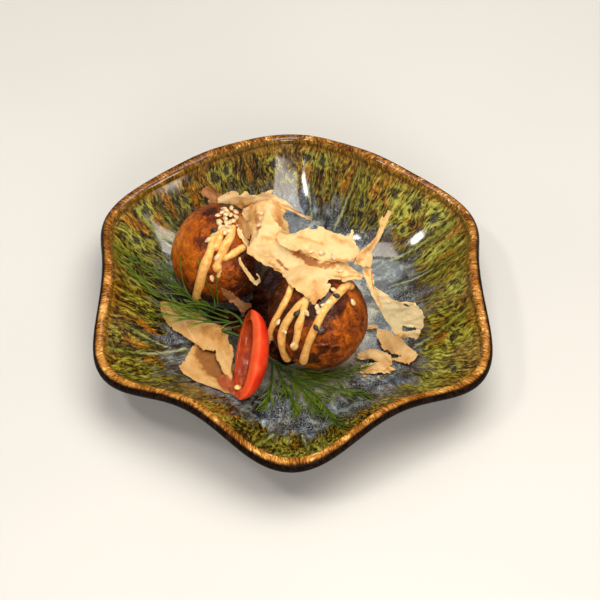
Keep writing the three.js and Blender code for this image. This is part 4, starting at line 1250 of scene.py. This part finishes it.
def flake_sheet(bm, layer, flake, cell, seed):
    """A torn sheet. Its uv map is in centimetres along and across it."""
    surface, spot = flake_surface(flake)
    length, width = flake_size(spot)
    edge, *holes = (frayed(outline, length, width, seed)
                    for outline in (flake["outline"], *flake.get("holes", ())))
    low, high = (Vector((end(here.x for here in edge), end(here.y for here in edge)))
                 for end in (min, max))
    columns, rows = (max(4, round(extent / cell)) for extent in high - low)
    # Marks of painted shade and light, with real stains, laid out in mm along and across the flake.
    shade_and_stains = [(*laid_flat(line, length, width), wide, tone)
              for *line, wide, tone in flake.get("shade_and_stains", ())]
    chart = bm.loops.layers.uv.verify()

    def flat(u, v):
        return Vector((low.x + u * (high.x - low.x), low.y + v * (high.y - low.y)))

    def place(u, v):
        here = flat(u, v)
        return surface(here.x / length, here.y / width)

    spots = {}
    for vert, u, v in woven(bm, columns, rows, place):
        spots[vert] = here = flat(u, v)
        uneven = 0.8 * noise.noise(Vector((here.x * 0.6, here.y * 0.6, seed)))
        uneven += 0.4 * noise.noise(Vector((here.x * 1.7, here.y * 1.7, seed)))
        # Sums the painted shade and light, with the real stains, at this corner.
        shade_and_stain_here = 0
        for *line, wide, tone in shade_and_stains:
            strayed = nearness(here, *line, wide) + uneven * min(1.0, SHADE_AND_STAIN_TEAR / wide)
            shade_and_stain_here += tone * ease(strayed, 0, 0.8)
        vert[layer] = shade_and_stain_here
    tear_out(bm, chart, spots, (edge, *holes), seed)


def tear_out(bm, chart, spots, lines, seed):
    """Fills in the uv map, and takes out the faces outside a sheet's outline or inside its holes."""
    crossed, torn = {}, []
    for face in {face for vert in spots for face in vert.link_faces}:
        middle = Vector((0, 0))
        for loop in face.loops:
            here = spots[loop.vert]
            loop[chart].uv = (here.x / 10 + seed, here.y / 10)
            middle += here / 4
        key = round(middle.y, 3)
        if key not in crossed:
            crossed[key] = [crossings(line, middle.y) for line in lines]
        inside, *in_hole = (sum(cross > middle.x for cross in row) % 2 for row in crossed[key])
        if not inside or any(in_hole):
            torn.append(face)
    bmesh.ops.delete(bm, geom=torn, context="FACES")


def drop_scraps(bm):
    """Removes the small islands that tearing leaves, which would hang in the air."""
    left = set(bm.faces)
    while left:
        island, queue = set(), [left.pop()]
        while queue:
            face = queue.pop()
            island.add(face)
            for edge in face.edges:
                for other in edge.link_faces:
                    if other in left:
                        left.remove(other)
                        queue.append(other)
        if len(island) < SCRAP_FACES:
            bmesh.ops.delete(bm, geom=list(island), context="FACES")


def finish_edge(bm):
    """Smooths the stepped border that tearing leaves, and turns it up or down a little."""
    for _ in range(EDGE_SMOOTHINGS):
        moves = []
        for vert in bm.verts:
            border = [edge.other_vert(vert) for edge in vert.link_edges if edge.is_boundary]
            if len(border) == 2:
                moves.append((vert, vert.co * 0.5 + (border[0].co + border[1].co) * 0.25))
        for vert, place in moves:
            vert.co = place
    bm.normal_update()
    ring = {vert for vert in bm.verts if vert.is_boundary}
    done, moves = set(ring), []
    for number in range(CURL_RINGS):
        share = (1 - number / CURL_RINGS) ** 2
        for vert in ring:
            upward = vert.normal if vert.normal.z > 0 else -vert.normal
            moves.append((vert, upward * CURL * share * (0.5 + 1.6 * noise.noise(vert.co * 0.23))))
        ring = {edge.other_vert(vert) for vert in ring for edge in vert.link_edges} - done
        done |= ring
    for vert, move in moves:
        vert.co += move


def flake_paint(name, settings, tint):
    """Bonito, from pale at a tint of 0 over tan at 1 to brown at 2."""
    paint = Paint(name)
    chart = paint.node("ShaderNodeUVMap", {"uv_map": "UVMap"}, {})
    place = paint.place()
    fibres = paint.noise(paint.vector("MULTIPLY", chart, (1.6, 22.0, 1.0)), 1, 4, 0.65, 0.5)
    cloud = paint.noise(place, 0.13, 3, 0.6, 0.4)
    grain = paint.noise(place, 2.4, 3, 0.7)
    tones = (settings.bonito, settings.bonito_tan, settings.bonito_brown)
    base, share = int(min(tint, 1.99)), min(tint, 1.99) % 1
    middle = tuple(a + (b - a) * share for a, b in zip(tones[base], tones[base + 1]))

    def graded(*parts):
        return tuple(min(1.0, part * k) for part, k in zip(middle, parts))

    # The stain layer darkens or pales the bonito: painted shade under folds, painted light on ridges and
    # edges, and real stains.
    tone = cloud * 0.5 + fibres * 0.75 + grain * 0.26 - 0.235 + paint.layer("stain") * -0.2
    colour = paint.ramp(
        tone, (0.16, graded(0.40, 0.19 + 0.06 * share, 0.08)),
        (0.32, graded(0.70, 0.47 + 0.09 * share, 0.27)), (0.43, graded(0.90, 0.79, 0.62)), (0.53, middle),
        (0.66, graded(1.04, 1.06, 1.12)), (0.84, graded(1.08, 1.11, 1.30)))
    specks = paint.fade(paint.cells(place, 0.42), 0.05, 0.10, 1, 0) * paint.fade(grain, 0.5, 0.6)
    colour = paint.over(colour, specks * 0.7, graded(0.45, 0.22, 0.12))
    height = fibres * 1.1 + grain * 0.6 + cloud * 0.6
    return paint.finish(colour, Roughness=0.52 + (grain - 0.5) * 0.25, Normal=paint.bump(height, 0.6),
                        Subsurface_Weight=0.25, Subsurface_Scale=0.0007)


class MakeFlakes(bpy.types.Operator):
    """Make the curled bonito flakes and the sesame on them"""

    bl_idname = "takoyaki.flakes"
    bl_label = "Bonito flakes"

    def execute(self, context):
        settings = context.scene.takoyaki_toppings
        seeds = seed_paint("sesame on bonito", context.scene.takoyaki_balls.seed)
        for number, (name, flake) in enumerate(FLAKES.items()):
            bm = bmesh.new()
            layer = bm.verts.layers.float.new("stain")
            flake_sheet(bm, layer, flake, settings.flake_cell, number)
            for ribs in flake.get("shreds", ()):
                flake_sheet(bm, layer, {**STRIP, "ribs": ribs}, settings.flake_cell, number + 0.5)
            drop_scraps(bm)
            finish_edge(bm)
            paint = flake_paint(f"bonito {name}", settings, flake["tint"])
            piece = make_piece(f"bonito_{name}", bm, paint, f"flake_{name}")
            shell = piece.modifiers.new("thickness", "SOLIDIFY")
            shell.thickness = settings.flake_thickness * MM
            shell.offset = 0
            if "seeds" in flake:
                surface, _ = flake_surface(flake)
                placed = [(surface(u, v) + SEED_BED, SEED_LEAN, 1.9 * i)
                          for i, (u, v) in enumerate(shares(flake["seeds"]))]
                make_piece(f"sesame_{name}", seeds_mesh(placed), seeds, f"flake_{name}")
        bits = drops_mesh(BITS, lumps=0.9)
        make_piece("bonito_bits", bits, flake_paint("bonito bits", settings, 0.6),
                   "flake_crumb_lower")
        return {"FINISHED"}


# ---- tomato -------------------------------------------------------------------------------------

# Shares of the ring round the tomato's section where its skin, its first cut edge and its hollow end.
# The second cut edge follows, and from LAST_CUT on the ring is skin again.
SKIN_END, CUT_END, HOLLOW_END, LAST_CUT = 0.42, 0.50, 0.94, 0.985
TOMATO_LEAN = 0.7  # how much thicker the flesh is at one cut edge, and thinner at the other
HOLLOW_HALF = TOMATO_HALF - 1.2 * TOMATO_WALL
EDGE_ROUNDING = 12  # smoothing steps along the sharp edge of the skin


def tomato_section(u, y):
    """Angle and radius of the ring at a share of the way round, at this place along the tomato."""
    skin = TOMATO_RADIUS * math.sqrt(max(0.0, 1 - (y / TOMATO_HALF) ** 2))
    narrowing = math.sqrt(max(0.0, 1 - (y / HOLLOW_HALF) ** 2))

    def wall(angle):
        return (TOMATO_RADIUS - TOMATO_WALL * (1 + TOMATO_LEAN * math.sin(angle))) * narrowing

    if u <= SKIN_END:
        return TOMATO_SPREAD * (2 * u / SKIN_END - 1), skin
    if u <= CUT_END:
        share = (u - SKIN_END) / (CUT_END - SKIN_END)
        return TOMATO_SPREAD, skin + (wall(TOMATO_SPREAD) - skin) * share
    if u <= HOLLOW_END:
        angle = TOMATO_SPREAD * (1 - 2 * (u - CUT_END) / (HOLLOW_END - CUT_END))
        return angle, wall(angle)
    share = (u - HOLLOW_END) / (1 - HOLLOW_END)
    return -TOMATO_SPREAD, wall(-TOMATO_SPREAD) + (skin - wall(-TOMATO_SPREAD)) * share


def tomato_mesh():
    lengthwise = (TOMATO_TOP - TOMATO_FOOT).normalized()
    sideways = TOMATO_KEEL.cross(lengthwise).normalized()
    keel = lengthwise.cross(sideways)
    middle = TOMATO_TOP.lerp(TOMATO_FOOT, 0.5)

    def place(u, v):
        y = -TOMATO_HALF * math.cos(math.pi * v)
        angle, radius = tomato_section(u, y)
        if CUT_END < u < HOLLOW_END:
            fold = noise.noise(Vector((2 * angle, y * 0.16, 1.7)))
            fold += 0.4 * noise.noise(Vector((4 * angle, y * 0.3, 9)))
            radius = max(0.0, radius + 0.6 * fold * min(1.0, radius / 3))
        local = Vector((radius * math.cos(angle), y, radius * math.sin(angle)))
        return middle + keel * local.x + lengthwise * local.y + sideways * local.z

    bm = bmesh.new()
    layers = {name: bm.verts.layers.float.new(name) for name in ("cut", "hollow")}
    edges = []
    for vert, u, v in woven(bm, columns=100, rows=72, place=place):
        if abs(u - SKIN_END) < 0.05 and 0.06 < v < 0.94:
            edges.append(vert)
        deep = 0.35 + 0.65 * ease(v, 0.15, 0.55)
        in_cut = ease(u, SKIN_END - 0.05, SKIN_END + 0.03) if u < LAST_CUT else 0.0
        in_hollow = ease(u, CUT_END, CUT_END + 0.09) if u < LAST_CUT else 0.0
        vert[layers["cut"]] = in_cut
        vert[layers["hollow"]] = deep * max(in_hollow, 1 - ease(u, 0.0, 0.03))
    bmesh.ops.remove_doubles(bm, verts=bm.verts, dist=WELD)
    edges = [vert for vert in edges if vert.is_valid]
    for _ in range(EDGE_ROUNDING):
        bmesh.ops.smooth_vert(bm, verts=edges, factor=0.5,
                              use_axis_x=True, use_axis_y=True, use_axis_z=True)
    bmesh.ops.recalc_face_normals(bm, faces=bm.faces)
    return bm


def tomato_paint(settings):
    paint = Paint("cherry tomato")
    place = paint.place()
    soft = paint.noise(place, 0.14, 3, 0.5)
    grain = paint.noise(place, 1.6, 3, 0.6)
    cut, hollow = paint.layer("cut"), paint.layer("hollow")
    skin = paint.ramp(
        soft, (0.34, shade(204, 36, 16)), (0.5, settings.tomato), (0.68, shade(236, 82, 40)))
    flesh = paint.ramp(
        soft * 0.6 + grain * 0.4, (0.35, shade(236, 74, 32)), (0.5, settings.flesh),
        (0.68, shade(252, 114, 66)))
    wet = paint.ramp(
        soft * 0.8 + grain * 0.2, (0.36, shade(124, 32, 4)), (0.5, settings.hollow),
        (0.66, shade(196, 76, 18)))
    colour = paint.over(paint.over(skin, cut, flesh), hollow, wet)
    rough = 0.4 + cut * 0.08 - hollow * 0.1
    height = grain * cut * 0.4 + soft * 0.3
    return paint.finish(colour, Roughness=rough, Normal=paint.bump(height, 0.35, 0.7),
                        Specular_IOR_Level=0.2, Coat_Weight=hollow * 0.5, Coat_Roughness=0.1,
                        Subsurface_Weight=0.3, Subsurface_Scale=0.002)


# Drops of the tomato's jelly, and one of its seeds: place, half sizes in mm, and a turn in degrees.
PULP = [((-24.6, -37.6, 9.8), (5.0, 3.4, 0.45), -40), ((-22.3, -42.0, 10.1), (3.4, 2.0, 0.5), -60),
        ((-18.6, -35.5, 12.4), (2.0, 6.2, 0.9), -12)]
TOMATO_SEEDS = [((-20.9, -41.2, 11.6), (1.5, 1.15, 0.7), 20)]


def jelly_paint():
    paint = Paint("tomato jelly")
    soft = paint.noise(paint.place(), 0.5, 3, 0.6)
    colour = paint.ramp(
        soft, (0.32, shade(120, 44, 8)), (0.5, shade(182, 66, 16)), (0.75, shade(216, 122, 52)))
    return paint.finish(colour, Roughness=0.08, Normal=paint.bump(soft, 0.5, 0.8),
                        Alpha=soft * 0.5 + 0.12)


class MakeTomato(bpy.types.Operator):
    """Make the wedge of cherry tomato"""

    bl_idname = "takoyaki.tomato"
    bl_label = "Tomato"

    def execute(self, context):
        settings = context.scene.takoyaki_toppings
        seeds = seed_paint("tomato seeds", shade(240, 206, 120))
        for name, bm, paint in (
            ("tomato_wedge", tomato_mesh(), tomato_paint(settings)),
            ("tomato_jelly", drops_mesh(PULP, lumps=0.3), jelly_paint()),
            ("tomato_seeds", drops_mesh(TOMATO_SEEDS, lumps=0.1), seeds),
        ):
            make_piece(name, bm, paint, "tomato")
        return {"FINISHED"}


# ---- dill ---------------------------------------------------------------------------------------

# A sprig's branches, the first of which is its bare stem: how many threads each carries, and the points
# that it runs through. Spikes are single threads that stand away from them.
SPRIGS = {
    "left": {"seed": 7, "branches": [
        (0, [[-19, -12, 14], [-22, -8, 15.5], [-27, -5, 16.5]]),
        (14, [[-25.5, -10, 17], [-35, -4.2, 16.5], [-45.7, 6, 16], [-56.4, 15, 17], [-66, 20.5, 20]]),
        (9, [[-25.4, -8, 18], [-35.8, -2.8, 18], [-44.9, 8, 18], [-53, 16, 19]]),
        (14, [[-25.1, -11, 16], [-35, -7.1, 15.5], [-45.4, -1.3, 15], [-56, 5.2, 15], [-67, 13, 18.5]]),
        (8, [[-24, -11, 15.5], [-32.8, -10.8, 15.5], [-41.8, -8.1, 15.5], [-50.8, -6.5, 15]]),
    ], "spikes": [
        [[-38.6, -3.9, 18], [-43.1, 1.8, 22], [-41.4, 5.5, 27], [-38.2, 11.2, 31]],
        [[-30.8, -6.3, 19], [-31.2, -2.9, 23], [-33.1, 1.7, 30], [-35.8, 6.1, 36]],
        [[-29.6, -5.3, 19], [-29.9, -2.8, 26], [-29.7, 0.5, 32]],
        [[-20.7, -12.5, 15], [-23.9, -13.5, 15], [-27.9, -14.9, 15]],
        [[-21.5, -10.5, 15.5], [-25, -11.5, 15.5], [-29, -13.5, 15]],
    ]},
    "right": {"seed": 23, "branches": [
        (0, [[-27.5, -13.5, 13.5], [-18, -17, 11.5], [-10, -24, 9], [-4, -28, 8]]),
        (18, [[-9.3, -25, 9], [-3.2, -30, 8.5], [3.6, -37.1, 8.5], [10.7, -44.5, 9], [15.6, -55.2, 12],
              [19.3, -64.5, 15.5]]),
        (12, [[-7.7, -26.3, 9], [0.4, -28.5, 8], [8.4, -31.5, 8], [16.4, -32, 8], [23.6, -31, 8.5]]),
        (10, [[-4.4, -30.4, 9], [3.6, -34.6, 8.5], [13.5, -38.1, 8.5], [21.4, -41, 9],
              [27.6, -43.3, 10]]),
        (7, [[-7.7, -26.3, 9], [-7.6, -34.1, 8.5], [-8.3, -41.5, 9], [-9.8, -48.6, 10.5]]),
        (9, [[-6, -28.4, 9], [-2.8, -37.1, 8.5], [0, -44.5, 9], [2.4, -52.4, 11]]),
        (7, [[-0.4, -33.5, 9], [5.9, -42.5, 9], [10.6, -51.6, 10.5]]),
    ], "spikes": []},
}
FORKS = 3  # finer threads on each thread
THREAD_LENGTH, LONGER = 9.5, 6.5  # the least that a thread near the foot has, and what luck can add
THREAD_SIZE, FORK_SIZE, SPIKE_SIZE = 0.92, 0.72, 1.1  # times the radius of a thread
OFF_BALL = 1.0  # how far a branch stays off the balls, and a spike 0.4


def add_branch(bm, layer, threads, line, draws, stem):
    """One branch with its threads, which fork again into finer ones."""

    def stem_at(share):
        return stem * (1 - 0.5 * share)

    def laid(point, radius):
        return keep_clear(point, OFF_BALL + radius, GAP + radius)

    tube(bm, lambda t: laid(along(line, t), stem_at(t)), stem_at, sides=8, steps=20,
         layer=layer, value=lambda t: 0.1 * t)
    for i in range(threads):
        share = min(0.1 + 0.9 * (i + draws.random()) / threads, 1)
        start = along(line, share)
        heading = (along(line, min(share + 1e-3, 1)) - along(line, max(share - 1e-3, 0))).normalized()
        side = (1 if i % 2 else -1) * (9 + 22 * draws.random())
        swing = Quaternion((0, 0, 1), math.radians(side)) @ heading
        length = (THREAD_LENGTH + LONGER * draws.random()) * (1.2 - 0.6 * share)
        end = start + swing * length + Vector((0, 0, 3.5 * (draws.random() - 0.35)))
        middle = start + (swing + heading * 1.4).normalized() * 0.52 * length
        add_thread(bm, layer, [start, middle, end], laid, THREAD_SIZE, 0.3)
        onward = (end - start).normalized()
        for fork in range(FORKS):
            root = along([start, middle, end], 0.18 + 0.17 * fork + 0.1 * draws.random())
            turn = math.radians((7 + 15 * draws.random()) * (1 if fork % 2 else -1))
            way = Quaternion((0, 0, 1), turn) @ onward
            reach = length * (0.36 + 0.26 * draws.random())
            tip = root + way * reach + Vector((0, 0, 1.8 * draws.random() - 0.6))
            bend = root + (way + 0.4 * onward).normalized() * 0.5 * reach
            add_thread(bm, layer, [root, bend, tip], laid, FORK_SIZE, 0.6)


def add_thread(bm, layer, points, laid, size, tip):
    """One thread through some points, moved clear by laid. Its layer rises from tip by 0.4."""
    radius = THREAD_RADIUS * size

    def thick(share):
        return radius * (1.05 - 0.55 * share)

    tube(bm, lambda t: laid(along(points, t), radius), thick, sides=6, steps=8,
         layer=layer, value=lambda t: tip + 0.4 * t)


def sprig_mesh(sprig):
    def laid(point, radius):
        return keep_clear(point, radius + 0.4, radius)

    bm = bmesh.new()
    layer = bm.verts.layers.float.new("tip")
    draws = random.Random(sprig["seed"])
    for number, (threads, path) in enumerate(sprig["branches"]):
        stem = STEM_RADIUS * (0.5 if number else 1)
        add_branch(bm, layer, threads, vectors(path), draws, stem)
    for spike in sprig["spikes"]:
        add_thread(bm, layer, vectors(spike), laid, SPIKE_SIZE, 0.4)
    bmesh.ops.recalc_face_normals(bm, faces=bm.faces)
    return bm


def dill_paint(settings):
    paint = Paint("dill")
    place = paint.place()
    tone = paint.noise(place, 0.12, 3, 0.6)
    tip = paint.layer("tip") + (tone - 0.5) * 1.2
    colour = paint.ramp(
        tip, (0.05, settings.stem), (0.45, settings.dill), (0.95, shade(104, 124, 26)))
    grain = paint.noise(place, 2.5, 2)
    return paint.finish(colour, Roughness=0.42 + (grain - 0.5) * 0.2, Normal=paint.bump(grain, 0.05),
                        Specular_IOR_Level=0.25, Subsurface_Weight=0.15, Subsurface_Scale=0.0005)


class MakeDill(bpy.types.Operator):
    """Make the two sprigs of dill"""

    bl_idname = "takoyaki.dill"
    bl_label = "Dill"

    def execute(self, context):
        paint = dill_paint(context.scene.takoyaki_toppings)
        for side, sprig in SPRIGS.items():
            make_piece(f"dill_sprig_{side}", sprig_mesh(sprig), paint, f"dill_{side}")
        return {"FINISHED"}


# ---- stage --------------------------------------------------------------------------------------

AIM = Vector((3.57, 2.29, 13.98)) * MM
CAMERA_DISTANCE = 0.7
CAMERA_HEIGHT = math.radians(49.1)
LENS, SENSOR = 102.45, 36
FLOOR_REACH = 3  # metres from the middle of the floor to its edge
AIR_COLOUR, AIR_LIGHT = (1.0, 0.97, 0.92, 1), 0.19
# Each softbox's place, size, power and colour. All of them face the dish.
LIGHTS = {
    "softbox front": ((0.14, -0.8, 0.46), (0.5, 0.4), 4.5, (1.0, 0.94, 0.86)),
    "softbox overhead": ((0.14, 0.0, 0.86), (0.62, 0.7), 7.8, (1.0, 0.93, 0.84)),
    "softbox left": ((-0.42, -0.14, 0.82), (0.2, 0.09), 1.6, (1.0, 0.96, 0.9)),
    "softbox back": ((-0.05, 0.55, 0.85), (0.28, 0.26), 0.6, (0.86, 0.97, 1.0)),
}


def set_up(name, data, place, facing):
    """Adds a light or a camera that looks this way."""
    made = bpy.data.objects.new(name, data)
    made.location = place
    made.rotation_euler = facing.to_track_quat("-Z", "Y").to_euler()
    bpy.context.scene.collection.objects.link(made)
    return made


def add_light(name, place, size, power, colour):
    data = bpy.data.lights.new(name, "AREA")
    data.shape = "RECTANGLE"
    data.size, data.size_y = size
    data.energy = power
    data.color = colour
    set_up(name, data, place, AIM - Vector(place))


def add_camera():
    data = bpy.data.cameras.new("camera")
    data.lens = LENS
    data.sensor_width = SENSOR
    back = Vector((0, -math.cos(CAMERA_HEIGHT), math.sin(CAMERA_HEIGHT)))
    return set_up("camera", data, AIM + back * CAMERA_DISTANCE, -back)


def floor_paint():
    paint = Paint("pale floor")
    cloud = paint.noise(paint.place(), 0.004, 2)
    tone = paint.ramp(cloud, (0.3, (0.62, 0.61, 0.59)), (0.7, (0.68, 0.67, 0.65)))
    return paint.finish(tone, Roughness=0.75)


class SetStage(bpy.types.Operator):
    """Set up the floor, the lights and the camera"""

    bl_idname = "takoyaki.stage"
    bl_label = "Stage"

    def execute(self, context):
        bm = bmesh.new()
        bmesh.ops.create_grid(bm, x_segments=1, y_segments=1, size=FLOOR_REACH)
        floor = add_object("floor", bm, floor_paint())
        world = bpy.data.worlds.new("studio")
        world.use_nodes = True
        background = world.node_tree.nodes["Background"].inputs
        background["Color"].default_value = AIR_COLOUR
        background["Strength"].default_value = AIR_LIGHT
        context.scene.world = world
        for name, light in LIGHTS.items():
            add_light(name, *light)
        context.scene.camera = add_camera()
        context.scene.view_settings.view_transform = "Standard"
        return {"FINISHED"}


# ---- panel and running --------------------------------------------------------------------------

GROUPS = (("takoyaki_dish", DishSettings), ("takoyaki_balls", BallSettings),
          ("takoyaki_toppings", ToppingSettings))
STEPS = (MakeDish, MakeBalls, MakeMayonnaise, MakeSesame, MakeFlakes, MakeTomato, MakeDill, SetStage)


class TakoyakiPanel(bpy.types.Panel):
    """Settings and steps of the takoyaki dish"""

    bl_idname = "VIEW3D_PT_takoyaki"
    bl_label = "Takoyaki"
    bl_space_type = "VIEW_3D"
    bl_region_type = "UI"
    bl_category = "Takoyaki"

    def draw(self, context):
        for name, group in GROUPS:
            box = self.layout.box()
            for setting in group.__annotations__:
                box.prop(getattr(context.scene, name), setting)
        for step in STEPS:
            self.layout.operator(step.bl_idname)


CLASSES = (*(group for _, group in GROUPS), *STEPS, TakoyakiPanel)


def register():
    for kind in CLASSES:
        bpy.utils.register_class(kind)
    for name, group in GROUPS:
        setattr(bpy.types.Scene, name, PointerProperty(type=group))


def unregister():
    for name, _ in GROUPS:
        delattr(bpy.types.Scene, name)
    for kind in reversed(CLASSES):
        bpy.utils.unregister_class(kind)


def main():
    register()
    for step in STEPS:
        family, name = step.bl_idname.split(".")
        getattr(getattr(bpy.ops, family), name)()


if __name__ == "__main__":
    main()
